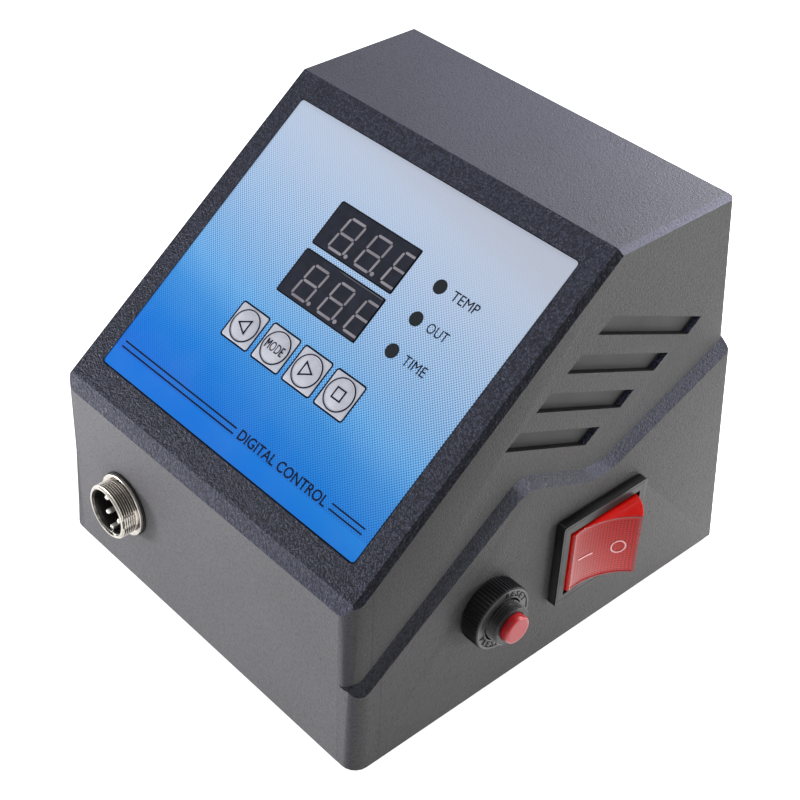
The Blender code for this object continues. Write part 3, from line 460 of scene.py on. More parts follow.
def keep(name, bm, material, body=ROOT, slot=None, place=None, sharp=40, replaces=()):
    """Turn a bmesh drawn in millimetres into a finished piece."""
    if place is not None:
        bmesh.ops.transform(bm, matrix=place, verts=bm.verts)
    mesh = bpy.data.meshes.new(name)
    bm.to_mesh(mesh)
    bm.free()
    mesh.shade_smooth()
    mesh.set_sharp_from_angle(angle=math.radians(sharp))
    for key in [material] if isinstance(material, str) else material:
        mesh.materials.append(MATERIALS[key])
    obj = bpy.data.objects.new(name, mesh)
    bpy.context.scene.collection.objects.link(obj)
    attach(obj, body)
    if replaces:
        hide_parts(*replaces)
    return obj


def skin(sections, closed):
    """Join equally long loops of points. A closed skin ends where it starts."""
    bm = bmesh.new()
    rings = [[bm.verts.new(point) for point in section] for section in sections]
    count = len(rings[0])
    for first, second in zip(rings, rings[1:] + rings[:1] if closed else rings[1:]):
        for i in range(count):
            j = (i + 1) % count
            bm.faces.new((first[i], first[j], second[j], second[i]))
    if not closed:
        bm.faces.new(list(reversed(rings[0])))
        bm.faces.new(rings[-1])
    bmesh.ops.recalc_face_normals(bm, faces=bm.faces)
    return bm


def turned(profile, sides, closed=False, radius_at=None):
    """Turn an (r, z) profile about Z. radius_at(r, z, angle) may change a point's radius."""
    angles = [2 * math.pi * k / sides for k in range(sides)]
    sections = []
    for r, z in profile:
        reach = [radius_at(r, z, a) if radius_at else r for a in angles]
        sections.append([(d * math.cos(a), d * math.sin(a), z) for d, a in zip(reach, angles)])
    return skin(sections, closed)


def circle(radius, sides=72):
    """Outline of a circle."""
    angles = [2 * math.pi * k / sides for k in range(sides)]
    return [(radius * math.cos(a), radius * math.sin(a)) for a in angles]


def bar(left, right, middle, half):
    """Outline of a level bar."""
    low, high = middle - half, middle + half
    return [(left, low), (right, low), (right, high), (left, high)]


def rectangle(width, height, radius, steps=6, centre=(0, 0)):
    """Outline of a rectangle with rounded corners, anticlockwise."""
    points = []
    for quarter, (sx, sy) in enumerate(((1, 1), (-1, 1), (-1, -1), (1, -1))):
        cx = centre[0] + sx * (width / 2 - radius)
        cy = centre[1] + sy * (height / 2 - radius)
        for step in range(steps + 1):
            a = math.pi / 2 * (quarter + step / steps)
            points.append((cx + radius * math.cos(a), cy + radius * math.sin(a)))
    return points


def slab(outline, low, high, edge=0.0):
    """A plate whose upper rim is rounded by edge."""
    if not edge:
        return skin([[(x, y, z) for x, y in outline] for z in (low, high)], False)
    cx = sum(x for x, _ in outline) / len(outline)
    cy = sum(y for _, y in outline) / len(outline)
    width = max(abs(x - cx) for x, _ in outline)
    height = max(abs(y - cy) for _, y in outline)
    sections = [[(x, y, low) for x, y in outline]]
    for step in range(4):
        a = math.pi / 2 * step / 3
        inset = edge * (1 - math.cos(a))
        z = high - edge + edge * math.sin(a)
        fx, fy = 1 - inset / width, 1 - inset / height
        sections.append([(cx + (x - cx) * fx, cy + (y - cy) * fy, z) for x, y in outline])
    return skin(sections, False)


def band(outer, inner, low, high):
    """A flat frame between two outlines with the same number of points."""
    rims = ((outer, low), (outer, high), (inner, high), (inner, low))
    return skin([[(x, y, z) for x, y in outline] for outline, z in rims], True)


def merge(parts):
    """Several bmeshes as one."""
    whole = bmesh.new()
    for part in parts:
        mesh = bpy.data.meshes.new("merge")
        part.to_mesh(mesh)
        part.free()
        whole.from_mesh(mesh)
        bpy.data.meshes.remove(mesh)
    return whole


def shifted(bm, x, y):
    """The bmesh, moved across its own plane."""
    bmesh.ops.translate(bm, vec=(x, y, 0), verts=bm.verts)
    return bm


def raise_faces(bm, way):
    """Give a flat mesh a thickness, on the side that way points to."""
    solid = bmesh.ops.extrude_face_region(bm, geom=bm.faces[:])
    moved = [item for item in solid["geom"] if isinstance(item, bmesh.types.BMVert)]
    bmesh.ops.translate(bm, vec=way, verts=moved)
    bmesh.ops.recalc_face_normals(bm, faces=bm.faces)
    return bm


def stroke(points, width, low, high):
    """A closed line of constant width through points, mitred, as a thin raised print."""
    outer, inner = [], []
    for i, point in enumerate(points):
        here, after = Vector(point), Vector(points[(i + 1) % len(points)])
        ways = [(here - Vector(points[i - 1])).normalized(), (after - here).normalized()]
        normals = [Vector((-way.y, way.x)) for way in ways]
        middle = sum(normals, Vector((0, 0))).normalized()
        reach = width / 2 / max(0.3, middle.dot(normals[0]))
        outer.append(tuple(here + middle * reach))
        inner.append(tuple(here - middle * reach))
    return band(outer, inner, low, high)


def lettering(text, height, x, y, low, high, width, centred=False, bold=0.0):
    """Text as a mesh in millimetres, its capitals height tall, squeezed to width."""
    curve = bpy.data.curves.new("lettering", "FONT")
    curve.body = text
    curve.size = 1.0
    curve.resolution_u = 4
    curve.offset = bold
    obj = bpy.data.objects.new("lettering", curve)
    bpy.context.scene.collection.objects.link(obj)
    bpy.context.view_layer.update()
    graph = bpy.context.evaluated_depsgraph_get()
    mesh = bpy.data.meshes.new_from_object(obj.evaluated_get(graph))
    bm = bmesh.new()
    bm.from_mesh(mesh)
    bpy.data.objects.remove(obj)
    bpy.data.meshes.remove(mesh)
    bmesh.ops.remove_doubles(bm, verts=bm.verts, dist=1e-6)
    xs = [v.co.x for v in bm.verts]
    ys = [v.co.y for v in bm.verts]
    scale_x = width / (max(xs) - min(xs))
    scale_y = height / (max(ys) - min(ys))
    left = x - (width / 2 if centred else 0)
    foot = y - height / 2
    for vert in bm.verts:
        across = (vert.co.x - min(xs)) * scale_x
        up = (vert.co.y - min(ys)) * scale_y
        vert.co = (left + across, foot + up, low)
    return raise_faces(bm, (0, 0, high - low))


# ---------------------------------------------------------------- camera, floor and light

TABLE_GLOW = 0.9
SURROUND = 0.55
LENS, SENSOR = 75.5937, 36
LIGHTS = (  # name, place, target, size in metres, power in watts
    ("front_light", (-250, -210, 0), (-40, 0, 30), 0.07, 1.5),
    ("side_light", (380, 330, -2), (63, 65, 32), 0.1, 2.1),
    ("back_light", (60, 300, 250), (60, 110, 122), 0.2, 2.0),
    ("top_light", (-500, -600, 900), (0, 60, 60), 0.8, 1.5),
)


def camera():
    """The photograph's view of the front right corner, from above."""
    right = Vector((0.6703393, 0.7410022, 0.0395085))
    down = Vector((0.4778041, -0.3902785, -0.7870108))
    ahead = Vector((-0.5677574, 0.5464415, -0.6156730))
    data = bpy.data.cameras.new("camera")
    data.sensor_width = SENSOR
    data.lens = LENS
    data.clip_start = 0.01
    data.clip_end = 20
    obj = bpy.data.objects.new("camera", data)
    bpy.context.scene.collection.objects.link(obj)
    axes = (right, -down, -ahead)
    matrix = Matrix([(axes[0][i], axes[1][i], axes[2][i]) for i in range(3)]).to_4x4()
    matrix.translation = at(267.81, -186.87, 338.20)
    obj.matrix_world = matrix
    bpy.context.scene.camera = obj


def area_light(name, place, target, size, power):
    """A soft square light at place, aimed at target."""
    place, target = at(*place), at(*target)
    data = bpy.data.lights.new(name, "AREA")
    data.shape = "RECTANGLE"
    data.size = data.size_y = size
    data.energy = power
    obj = bpy.data.objects.new(name, data)
    bpy.context.scene.collection.objects.link(obj)
    turn = (target - place).normalized().to_track_quat("-Z", "Y")
    obj.matrix_world = Matrix.Translation(place) @ turn.to_matrix().to_4x4()


def stage():
    """A plain white table that glows softly, a dimmer surround and soft lights."""
    bm = bmesh.new()
    bmesh.ops.create_grid(bm, x_segments=1, y_segments=1, size=6)
    mesh = bpy.data.meshes.new("floor")
    bm.to_mesh(mesh)
    bm.free()
    n = Nodes("floor_white")
    n.finish((0.9, 0.9, 0.9), 0.9, shine=0.1)
    n.shader.inputs["Emission Color"].default_value = (1, 1, 1, 1)
    n.shader.inputs["Emission Strength"].default_value = TABLE_GLOW
    mesh.materials.append(n.material)
    floor = bpy.data.objects.new("floor", mesh)
    bpy.context.scene.collection.objects.link(floor)
    world = bpy.data.worlds.new("studio")
    bpy.context.scene.world = world
    world.use_nodes = True
    background = world.node_tree.nodes["Background"]
    background.inputs["Color"].default_value = (1, 1, 1, 1)
    background.inputs["Strength"].default_value = SURROUND
    for light in LIGHTS:
        area_light(*light)
    view = bpy.context.scene.view_settings
    view.view_transform = "Standard"
    view.look = "None"
    view.exposure = 0.0
    view.gamma = 1.0


camera()
stage()


# ---------------------------------------------------------------- housing

SKINS = ["wall", "frame", "foot", "strip", "rise", "recess", "floor"]
SLOT_Y, SLOT_Z = (40, 125), (60, 110)  # where the side slots are
LARGEST_SLOT_FLOOR = 3.2e-4  # square metres


def region(face):
    """Which of the cover's materials a face of the moulding takes."""
    normal = face.normal
    centre = (face.calc_center_median() - ORIGIN) / MM
    side = abs(centre.x)
    facing = normal.dot(SLOPE_NORMAL)
    if facing > 0.995 and centre.z > FOOT_Z - 1:
        return "frame"
    if facing > 0.85 and abs(normal.x) < 0.5 and abs(centre.z - FOOT_Z) < 3:
        return "foot"
    if centre.x < -56 and centre.y < 5 and normal.y < 0:
        return "wall"
    slots = SLOT_Y[0] < centre.y < SLOT_Y[1] and SLOT_Z[0] < centre.z < SLOT_Z[1]
    if slots and 58.5 < side < 60.9 and abs(normal.x) < 0.8:
        return "recess"
    below_slope = centre.z < 46 + 0.72 * centre.y
    if side > 52 and below_slope and 18 < centre.z < 90 and 0.3 < normal.z < 0.9:
        return "strip"
    if not below_slope and normal.z > 0.3 and normal.y < -0.3 and abs(normal.x) > 0.5:
        return "rise"
    sunk = 52 < side < 59.4 - (centre.z - 50) * 0.0097
    outward = normal.x * centre.x > 0 and abs(normal.x) > 0.9
    if slots and sunk and outward and face.calc_area() < LARGEST_SLOT_FLOOR:
        return "floor"
    return "wall"


def flush(vert, spot):
    """Bring the step's start at the left front corner in line with the wall above it."""
    radius, half = 4.5, 60.95  # of the upright corner, and of the wall's width there
    centre = Vector((-half + radius, radius))
    away = Vector((min(spot.x - centre.x, 0), min(spot.y - centre.y, 0)))
    if away.length > radius:
        away *= radius / away.length
        vert.co.x = ORIGIN.x + (centre.x + away.x) * MM
        vert.co.y = ORIGIN.y + (centre.y + away.y) * MM


def housing_cover():
    """The moulding's skin: the solid's faces with broken edges, and a grain and painted light and
    shade for each region.
    """
    bm = bmesh.new()
    bm.from_mesh(NODES["housing_shell"].data)
    bmesh.ops.remove_doubles(bm, verts=bm.verts, dist=2e-6)
    bmesh.ops.dissolve_limit(
        bm, angle_limit=math.radians(0.6), verts=bm.verts, edges=bm.edges, delimit=set()
    )
    bm.normal_update()
    for vert in bm.verts:
        spot = (vert.co - ORIGIN) / MM
        if spot.x < -56 and spot.y < 5.5 and 14 < spot.z < 40:
            flush(vert, spot)
    bm.normal_update()
    for face in bm.faces:
        face.material_index = SKINS.index(region(face))
    cover = keep(
        "housing_cover", bm, SKINS, slot="housing_plastic", sharp=30, replaces=["housing_shell"]
    )
    soften = cover.modifiers.new("broken_edges", "BEVEL")
    soften.width = 0.0003
    soften.segments = 2
    soften.limit_method = "ANGLE"
    soften.angle_limit = math.radians(32)
    soften.harden_normals = True


housing_cover()


# ---------------------------------------------------------------- sloped panel

FILM_TOP = -0.2
PRINT = FILM_TOP + 0.03
LEFT, RIGHT, FOOT, HEAD = -52.33, 52.0, 10.25, 100.45
WIDE, TALL = RIGHT - LEFT, HEAD - FOOT
FILM_CENTRE = ((LEFT + RIGHT) / 2, (FOOT + HEAD) / 2)
KEY_X = [-0.3 + (i - 1.5) * 12.72 for i in range(4)]
KEY_Y = 40.7
CAPTIONS = (("TEMP", 77.3, 27.9, 9.2), ("OUT", 67.3, 27.7, 7.0), ("TIME", 57.3, 27.8, 7.9))

WINDOW_GLASS = FILM_TOP + 0.012
SEGMENT_LEVELS = (WINDOW_GLASS - 0.002, WINDOW_GLASS + 0.006)
RIM_LEVELS = (WINDOW_GLASS - 0.002, WINDOW_GLASS + 0.004)
WINDOW_X = -3.12
DIGIT_WIDTH, DIGIT_HALF, DIGIT_PITCH, DIGIT_SLANT = 5.75, 4.85, 10.33, 0.095
SEGMENT_WIDTH, SEGMENT_GAP, SEGMENT_END = 0.74, 0.2, 11.85
SEGMENTS = (  # from one corner of the digit to another, each as (side, level)
    ((0, 1), (1, 1)), ((0, 0), (1, 0)), ((0, -1), (1, -1)), ((0, 0), (0, 1)),
    ((1, 0), (1, 1)), ((0, -1), (0, 0)), ((1, -1), (1, 0)),
)


def open_keys(film):
    """Cut the openings for the keys through the film, for good."""
    openings = [rectangle(10.7, 10.7, 0.7, 6, (x, KEY_Y)) for x in KEY_X]
    bm = merge([slab(opening, -1.5, 1.5) for opening in openings])
    bmesh.ops.transform(bm, matrix=PANEL, verts=bm.verts)
    bmesh.ops.recalc_face_normals(bm, faces=bm.faces)
    tool_mesh = bpy.data.meshes.new("key_openings")
    bm.to_mesh(tool_mesh)
    bm.free()
    tool = bpy.data.objects.new("key_openings", tool_mesh)
    bpy.context.scene.collection.objects.link(tool)
    cut = film.modifiers.new("openings", "BOOLEAN")
    cut.object = tool
    cut.operation = "DIFFERENCE"
    cut.solver = "EXACT"
    bpy.context.view_layer.update()
    graph = bpy.context.evaluated_depsgraph_get()
    film_mesh = bpy.data.meshes.new_from_object(film.evaluated_get(graph))
    film.modifiers.clear()
    film.data = film_mesh
    bpy.data.objects.remove(tool)


def panel_film():
    """The printed film, with openings where the keys come through, and a dark edge."""
    bm = slab(rectangle(WIDE, TALL, 1.0, 8, FILM_CENTRE), -0.6, FILM_TOP)
    film = keep(
        "panel_film", bm, "overlay", slot="overlay_film", place=PANEL, replaces=["panel_overlay"]
    )
    open_keys(film)
    inverse = PANEL.inverted()
    layer = film.data.uv_layers.new(name="UVMap")
    for loop in film.data.loops:
        spot = inverse @ film.data.vertices[loop.vertex_index].co
        layer.data[loop.index].uv = ((spot.x - LEFT) / WIDE, (spot.y - FOOT) / TALL)
    inner = rectangle(WIDE + 0.02, TALL + 0.02, 1.0, 8, FILM_CENTRE)
    outer = rectangle(WIDE + 0.34, TALL + 0.34, 1.15, 8, FILM_CENTRE)
    edge = band(outer, inner, -0.85, -0.30)
    keep("film_edge", edge, "edge", slot="overlay_film", place=PANEL)


def prints():
    """Lines and words printed on the film."""
    levels = (FILM_TOP + 0.005, PRINT)
    lines = [bar(-50, -0.9, v, 0.22) for v in (18.25, 16.6)]
    lines += [bar(36.7, 48.9, v, 0.2) for v in (18.4, 16.85)]
    parts = [slab(line, *levels) for line in lines]
    keep("printed_lines", merge(parts), "ink", slot="overlay_film", place=PANEL)
    words = [lettering("DIGITAL CONTROL", 2.95, 0.8, 17.65, *levels, 34.4, bold=0.012)]
    words += [lettering(word, 2.75, x, v, *levels, wide) for word, v, x, wide in CAPTIONS]
    keep("printed_words", merge(words), "ink", slot="overlay_film", place=PANEL)


def segment_outline(a, b, width):
    """One bar of a digit: a hexagon from a to b."""
    way = (b - a).normalized()
    normal = Vector((-way.y, way.x)) * width / 2
    tip = way * width / 2
    points = (a, a + tip + normal, b - tip + normal, b, b - tip - normal, a + tip - normal)
    return [tuple(p) for p in points]


def clipped(outline, limit):
    """The outline cut off at x = limit."""
    points = []
    for (x0, y0), (x1, y1) in zip(outline, outline[1:] + outline[:1]):
        if x0 <= limit:
            points.append((x0, y0))
        if (x0 - limit) * (x1 - limit) < 0:
            t = (limit - x0) / (x1 - x0)
            points.append((limit, y0 + t * (y1 - y0)))
    return points


def digit(left, middle, dotted):
    """One slanted unlit digit, cut off at the window's end, with or without its dot."""

    def corner(side, level):
        up = level * DIGIT_HALF
        return Vector((left + side * DIGIT_WIDTH + up * DIGIT_SLANT, middle + up))

    parts = []
    for start, end in SEGMENTS:
        a, b = corner(*start), corner(*end)
        gap = (b - a).normalized() * SEGMENT_GAP
        outline = clipped(segment_outline(a + gap, b - gap, SEGMENT_WIDTH), SEGMENT_END)
        if len(outline) > 2:
            parts.append(slab(outline, *SEGMENT_LEVELS))
    if dotted:
        spot = corner(1, -1) + Vector((1.2, 0.3))
        parts.append(shifted(slab(circle(0.62, 24), *SEGMENT_LEVELS), spot.x, spot.y))
    return parts


def displays():
    """Two dark windows with slanted unlit digits, the last cut off, and three lamps."""
    look = {"slot": "display_face", "place": PANEL}
    for name, centre, left in (("upper", 75.72, -13.05), ("lower", 60.22, -13.38)):
        outline = rectangle(31.3, 13.95, 0.8, 6, (WINDOW_X, centre))
        inner = rectangle(30.6, 13.25, 0.6, 6, (WINDOW_X, centre))
        glass = slab(outline, FILM_TOP + 0.004, WINDOW_GLASS)
        keep(f"display_window_{name}", glass, "display", **look)
        keep(f"display_rim_{name}", band(outline, inner, *RIM_LEVELS), "dark", **look)
        parts = []
        for place in range(3):
            parts += digit(left + place * DIGIT_PITCH, centre - 0.62, place < 2)
        keep(f"display_digits_{name}", merge(parts), "segment", **look)
        # Painted shade: a dark bar inside each window's right end.
        shade = slab(bar(11.9, 12.45, centre, 6.9), *RIM_LEVELS)
        keep(f"display_shade_{name}", shade, "dark", **look)
    glint = [(-3, 66.45), (11.4, 66.45), (11.6, 66.75), (-6, 66.7)]
    keep("display_glint", slab(glint, FILM_TOP + 0.01, FILM_TOP + 0.018), "glint", **look)
    profile = [(0.01, PRINT - 0.02), (1.4, PRINT - 0.015), (1.9, PRINT - 0.01)]
    profile += [(2.05, PRINT - 0.03), (2.05, -0.5)]
    for word, v, _, _ in CAPTIONS:
        lamp = shifted(turned(profile, 40), 23.4, v)
        keep(f"lamp_window_{word.lower()}", lamp, "lamp", slot="lamp_lens", place=PANEL)


def key_pad():
    """A square pad with a dome inside a raised ring."""
    steps, reach = 12, 4.1
    profile = [(4.75, -0.3), (4.75, -0.12), (4.62, 0.02), (4.5, 0.06), (4.36, 0.0), (4.22, -0.06)]
    for step in range(steps + 1):
        r = reach * (1 - step / steps)
        profile.append((max(r, 0.01), -0.04 + 0.42 * (1 - (r / reach) ** 2) ** 0.8))
    pad = slab(rectangle(10.35, 10.35, 0.55), -0.5, -0.10, 0.12)
    return merge([pad, turned(profile, 72)])


def keys():
    """Four silver pads with a navy outline, an embossed dome ring and a printed sign."""
    width, levels = 0.42, (0.25, 0.395)
    arrow = [(2.1, 0), (-1.4, -1.95), (-1.4, 1.95)]
    signs = {
        "decrease": stroke([(-x, -y) for x, y in arrow], width, *levels),
        "mode": lettering("MODE", 2.7, 0, 0, *levels, 6.7, True),
        "increase": stroke(arrow, width, *levels),
        "stop": stroke(bar(-1.5, 1.5, 0, 1.5), width, *levels),
    }
    outer, inner = rectangle(11.3, 11.3, 1.0), rectangle(10.42, 10.42, 0.6)
    for x, (body, sign) in zip(KEY_X, signs.items()):
        place = PANEL @ Matrix.Translation((x, KEY_Y, 0))
        outline = band(outer, inner, -0.195, -0.165)
        ring = band(circle(4.74), circle(4.40), -0.1, 0.08)
        keep(f"{body}_pad", key_pad(), "silver", body, "key_silver", place, 50, [f"key_{body}"])
        keep(f"{body}_outline", outline, "ink", ROOT, "overlay_film", place)
        keep(f"{body}_ring", ring, "ink", body, "key_silver", place)
        keep(f"{body}_sign", sign, "ink", body, "key_silver", place)


panel_film()
prints()
displays()
keys()


# ---------------------------------------------------------------- output connector

CONNECTOR = front_frame(-33.6, 26.4)
CREST, ROOT_RADIUS, FLAT = 8.1, 7.6, 7.7
THREAD_PITCH, THREAD_TURNS = 0.7, 6
FLAT_AT, FLAT_HALF = math.radians(4), math.radians(18)


def flattened(r, z, a):
    """The threaded part's radius, cut by the flat."""
    off = abs((a - FLAT_AT + math.pi) % (2 * math.pi) - math.pi)
    if off < FLAT_HALF and 7.3 < r < 8.2 and 1.7 < z < 6.2:
        return min(r, FLAT / math.cos(off))
    return r


def barrel():
    """The shell, with painted shade on its thread roots as a second, darker material."""
    profile = [(7.05, 6.5), (7.15, 6.62), (7.55, 6.62), (7.75, 6.45), (7.8, 6.15)]
    for turn in range(THREAD_TURNS):
        top = 6.05 - turn * THREAD_PITCH
        profile += [(CREST - 0.06, top), (CREST, top - 0.08), (CREST - 0.06, top - 0.18)]
        profile += [(ROOT_RADIUS, top - 0.42), (ROOT_RADIUS, top - 0.5)]
    profile += [(7.75, 1.66), (7.8, 1.6), (9.1, 1.6), (9.26, 1.5), (9.3, 1.35), (9.3, 0.8)]
    profile += [(9.2, 0.7), (8.1, 0.7), (8.1, -11.0), (7.02, -11.0), (7.02, -6.0), (7.02, 0)]
    shell = turned(profile + [(7.02, 6.3)], 144, True, flattened)
    for face in shell.faces:
        centre = face.calc_center_median()
        reach = math.hypot(centre.x, centre.y)
        away = abs(math.atan2(centre.y, centre.x) - FLAT_AT)
        shaded_groove = 1.7 < centre.z < 6.0 and 7.5 < reach < 7.83 and away > FLAT_HALF
        face.material_index = 1 if shaded_groove else 0
    return shell


def connector():
    """Nickel shell, threaded but for one flat, with a lined bore, insert, key and four pins."""
    metal = {"slot": "nickel", "place": CONNECTOR}
    plastic = {"slot": "black_plastic", "place": CONNECTOR}
    skins = ["nickel", "shaded_groove"]
    keep("connector_barrel", barrel(), skins, sharp=28, replaces=["connector_shell"], **metal)
    profile = [(9.6, 0.45), (9.55, 0.55), (8.4, 0.55), (8.4, 0.15), (9.55, 0.15), (9.6, 0.25)]
    washer = turned(profile, 96, True)
    keep(
        "connector_washer", washer, "rubber", slot="rubber", place=CONNECTOR,
        replaces=["connector_gasket"],
    )
    liner = turned([(7.0, 5.9), (6.86, 5.8), (6.86, -5.0), (7.0, -5.0)], 96, True)
    keep("connector_liner", liner, "liner", **plastic)
    profile = [(0.01, -2.6), (6.4, -2.6), (6.6, -2.7), (6.7, -2.9), (6.7, -9.0), (0.01, -9.0)]
    core = turned(profile, 64)
    keep("connector_core", core, "dark", replaces=["connector_insert"], **plastic)
    profile = [(0.02, 4.8), (0.4, 4.72), (0.7, 4.45), (0.88, 4.0), (0.9, 3.4), (0.9, -3.0)]
    for index, (sx, sy) in enumerate(((-1, -1), (-1, 1), (1, -1), (1, 1)), 1):
        pin = shifted(turned(profile, 28), sx * 2.6, sy * 2.6)
        keep(f"contact_{index}", pin, "pin", replaces=[f"connector_pin_{index}"], **metal)
    key = slab(rectangle(1.6, 1.3, 0.25, 3, (0, -6.25)), -2.6, 5.2, 0.15)
    keep("connector_key", key, "pin", **metal)


connector()


# ---------------------------------------------------------------- breaker

BREAKER = side_frame(44.3, 32.3)
TEETH, TOOTH_DEPTH = 60, 0.4
BUSHING_PITCH = 0.95
LETTER_STEP = math.radians(15)


def knurl(r, z, a):
    """The nut's rim, toothed all round."""
    if r < 9.0 or z > 5.75 or z < 0.6:
        return min(r, 9.3) if r > 9.0 else r
    wave = (a * TEETH / (2 * math.pi)) % 1
    return r - TOOTH_DEPTH * abs(2 * wave - 1)


def thread(r, z, a):
    """The bushing's thread, in front of the nut."""
    if r < 5.5 or z < 5.0 or z > 9.05:
        return r
    turn = (z / BUSHING_PITCH - a / (2 * math.pi)) % 1
    return 5.52 + 0.42 * (1 - abs(2 * turn - 1))


def breaker_words():
    """Two words round the nut's face, on opposite arcs."""
    letters = []
    for word, middle, side in (("RESET", 52, 1), ("PRESS", 232, -1)):
        for index, letter in enumerate(word):
            angle = math.radians(middle) - (index - 2) * LETTER_STEP * side
            glyph = lettering(letter, 1.7, 0, 0, 5.79, 5.9, 1.25, True, 0.02)
            turn = Matrix.Rotation(angle - side * math.pi / 2, 4, "Z")
            turn = turn @ Matrix.Translation((0, 7.68 * side, 0))
            bmesh.ops.transform(glyph, matrix=turn, verts=glyph.verts)
            letters.append(glyph)
    return merge(letters)


def breaker():
    """Knurled nut with raised rim and lettering, threaded bushing, red button."""
    plastic = {"slot": "black_plastic", "place": BREAKER}
    profile = [(6.35, 0.3), (9.3, 0.3), (9.3, 0.55), (9.55, 0.65), (9.55, 2.2), (9.55, 4.0)]
    profile += [(9.55, 5.6), (9.3, 5.8), (9.05, 6.05), (8.8, 6.08), (8.55, 6.0), (8.45, 5.8)]
    profile += [(6.9, 5.78), (6.8, 5.9), (6.5, 5.92), (6.35, 5.8)]
    ring = turned(profile, 176, True, knurl)
    for face in ring.faces:
        # Painted light: faces looking straight out take the lighter copy of the nut's black
        # plastic.
        face.material_index = 1 if face.normal.z > 0.8 else 0
    skins = ["black", "nut_face_lit"]
    keep("breaker_ring", ring, skins, sharp=28, replaces=["breaker_nut"], **plastic)
    profile = [(4.32, 9.0), (4.5, 9.28), (5.3, 9.3), (5.55, 9.1)]
    profile += [(5.9, 9.05 - level * 3.6 / 48) for level in range(49)]
    profile += [(5.9, 4.0), (5.9, -4.3), (4.32, -4.3), (4.32, 0)]
    keep("breaker_bushing", turned(profile, 96, True, thread), "black", sharp=28, **plastic)
    button = [(3.5, 11.47), (3.72, 11.42), (3.9, 11.28), (4.02, 11.05), (4.08, 10.7)]
    cap = turned(button + [(4.1, 10.2), (4.1, 0), (4.1, -6.0)], 72)
    keep("reset_cap", cap, "button", "reset", "button_red", BREAKER, 50, ["reset_button"])
    face = turned([(0.02, 11.5), (3.0, 11.5), (3.45, 11.5), (3.6, 11.44), (3.6, 11.3)], 64)
    keep("reset_face", face, "button_face", "reset", "button_red", BREAKER, 50)
    keep("breaker_words", breaker_words(), "dark", **plastic)


breaker()


# ---------------------------------------------------------------- rocker switch

SWITCH = side_frame(84.6, 32.7)
PIVOT_DEPTH, REST_TILT = -1.4, math.radians(-18)
RADIUS, TIP, SAG = 13.3, math.radians(40), 2.3
TIP_X, TIP_Z = RADIUS * math.cos(TIP), RADIUS * math.sin(TIP)
BEND = (TIP_X**2 + SAG**2) / (2 * SAG)
BEND_Z = TIP_Z - SAG + BEND


def switch():
    """Black bezel with a raised lip round its opening, and the red rocker."""
    width, height = 32.5, 28.2
    outer, opening = rectangle(width, height, 0.7, 5), rectangle(27.2, 22.0, 0.35, 5)
    sections = []
    for inset, z in ((0, 0.3), (0, 2.5), (0.15, 2.85), (0.45, 3.0)):
        fx, fy = 1 - inset / (width / 2), 1 - inset / (height / 2)
        sections.append([(x * fx, y * fy, z) for x, y in outer])
    for grow, z in ((1.4, 3.0), (1.0, 2.9), (0.3, 2.75), (0, 2.4), (0, -9.0)):
        moved = [(x + math.copysign(grow, x), y + math.copysign(grow, y)) for x, y in opening]
        sections.append([(x, y, z) for x, y in moved])
    plastic = {"slot": "black_plastic", "place": SWITCH}
    keep("switch_bezel", skin(sections, False), "bezel", sharp=30, **plastic)
    well = band(rectangle(27.6, 22.4, 0.4, 5), opening, -9.0, 2.3)
    keep("switch_well", well, "dark", **plastic)
    turn = Matrix.Rotation(REST_TILT, 4, "Y")
    rocker(SWITCH @ Matrix.Translation((0, 0, PIVOT_DEPTH)) @ turn)


def on_face(x, y, lift):
    """A point above the rocker's concave face."""
    reach = BEND - lift
    angle = math.asin(x / BEND)
    return (reach * math.sin(angle), y, BEND_Z - reach * math.cos(angle))


def wrapped(pairs, low, high):
    """A closed strip of (outer, inner) points laid over the rocker's face."""
    rims = ((0, low), (0, high), (1, high), (1, low))
    return skin([[on_face(*pair[side], lift) for pair in pairs] for side, lift in rims], True)


def rocker_body():
    """The rocker: a concave face between two rounded ends, flat on both sides."""
    half, steps, end_steps = 10.2, 32, 10
    top, lowest = math.asin(TIP_X / BEND), math.radians(-12)
    outline = []
    for step in range(steps + 1):
        a = top - 2 * top * step / steps
        outline.append((BEND * math.sin(a), BEND_Z - BEND * math.cos(a)))
    left = []
    for step in range(1, end_steps + 1):
        a = TIP + (lowest - TIP) * step / end_steps
        left.append((-RADIUS * math.cos(a), RADIUS * math.sin(a)))
    outline += left + [(-x, z) for x, z in reversed(left)]
    sections = []
    for y, trim in ((-half, 0.985), (-half + 0.15, 1), (half - 0.15, 1), (half, 0.985)):
        sections.append([(x * trim, y, z * trim) for x, z in outline])
    bm = skin(sections, False)
    uv = bm.loops.layers.uv.new("UVMap")
    for face in bm.faces:
        centre = face.calc_center_median()
        level = abs(face.normal.y) < 0.3 and face.normal.z > 0.5
        on_top = level and centre.z > 4.5 and abs(centre.x) < TIP_X + 0.1
        face.material_index = 0 if on_top else 1
        for loop in face.loops:
            loop[uv].uv = (loop.vert.co.x, loop.vert.co.y)
    return bm


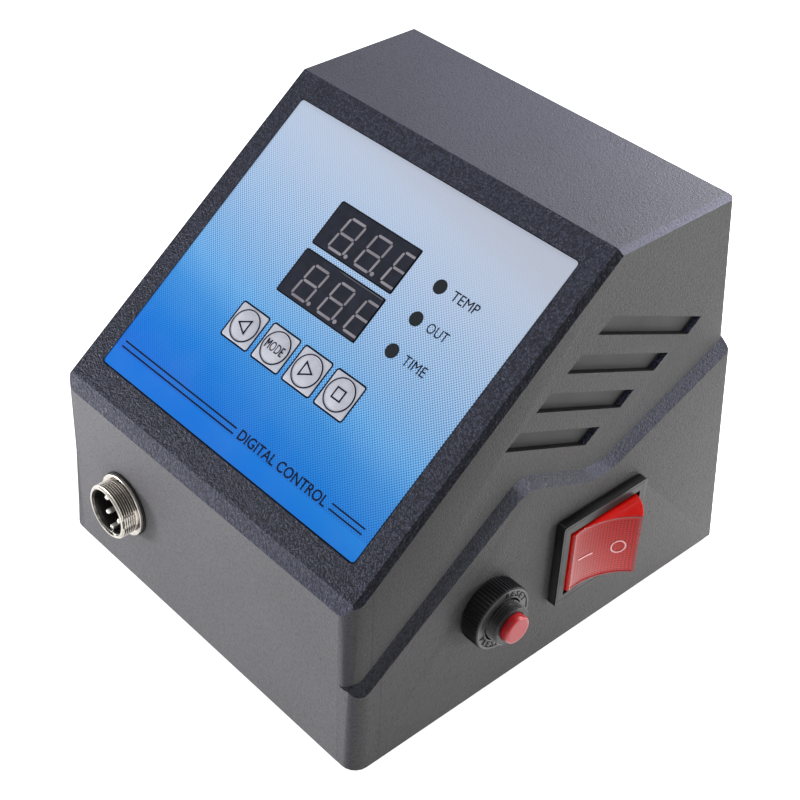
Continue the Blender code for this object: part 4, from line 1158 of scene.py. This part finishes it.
def rocker(place):
    """Red rocker with a fine lip round its face and the marks I and O."""
    red = {"body": "rocker", "slot": "rocker_red", "place": place}
    skins = ["rocker", "rocker_side"]
    keep("rocker_cap", rocker_body(), skins, sharp=35, replaces=["power_rocker"], **red)
    lip = []
    for sx, sy, ex, ey in ((1, 1, -1, 1), (-1, 1, -1, -1), (-1, -1, 1, -1), (1, -1, 1, 1)):
        for step in range(16):
            t = step / 16
            x, y = sx + (ex - sx) * t, sy + (ey - sy) * t
            lip.append(((x * 10.0, y * 10.05), (x * 9.55, y * 9.6)))
    keep("rocker_lip", wrapped(lip, -0.1, 0.09), "rocker_lip", **red)
    rims = [[(x + 5.0, y - 0.4) for x, y in circle(radius)] for radius in (2.2, 1.8)]
    keep("rocker_mark_off", wrapped(list(zip(*rims)), -0.05, 0.13), "mark", **red)
    mark, steps = bmesh.new(), 12
    spots = [-7.7 + 5.0 * step / steps for step in range(steps + 1)]
    rows = [[mark.verts.new(on_face(x, y, 0.13)) for x in spots] for y in (-0.2, -0.6)]
    for i in range(steps):
        mark.faces.new((rows[0][i], rows[0][i + 1], rows[1][i + 1], rows[1][i]))
    keep("rocker_mark_on", raise_faces(mark, (0, 0, -0.18)), "mark", **red)


switch()


# ---------------------------------------------------------------- what is inside and behind

FINISHES = {  # by the start of the node's name
    "base_plate": "wall", "base_screw": "steel", "rubber_foot": "rubber",
    "control_board": "board", "board_screw": "steel", "tact_switch": "chip",
    "display": "display", "lamp": "lamp", "microcontroller": "chip", "buzzer": "black",
    "power_board": "board", "transformer_core": "core", "transformer_winding": "tape",
    "power_triac": "chip", "heat_sink": "sink", "terminal_block": "terminal",
    "switch_body": "bezel", "switch_terminal": "brass", "breaker_body": "black",
    "breaker_terminal": "brass", "connector_nut": "nickel", "inlet_body": "black",
    "inlet_pin": "nickel",
}
for name, node in NODES.items():
    if node.hide_render:
        continue
    key = next(FINISHES[start] for start in FINISHES if name.startswith(start))
    node.data.materials.clear()
    node.data.materials.append(MATERIALS[key])
    node.data.shade_smooth()
    node.data.set_sharp_from_angle(angle=math.radians(35))
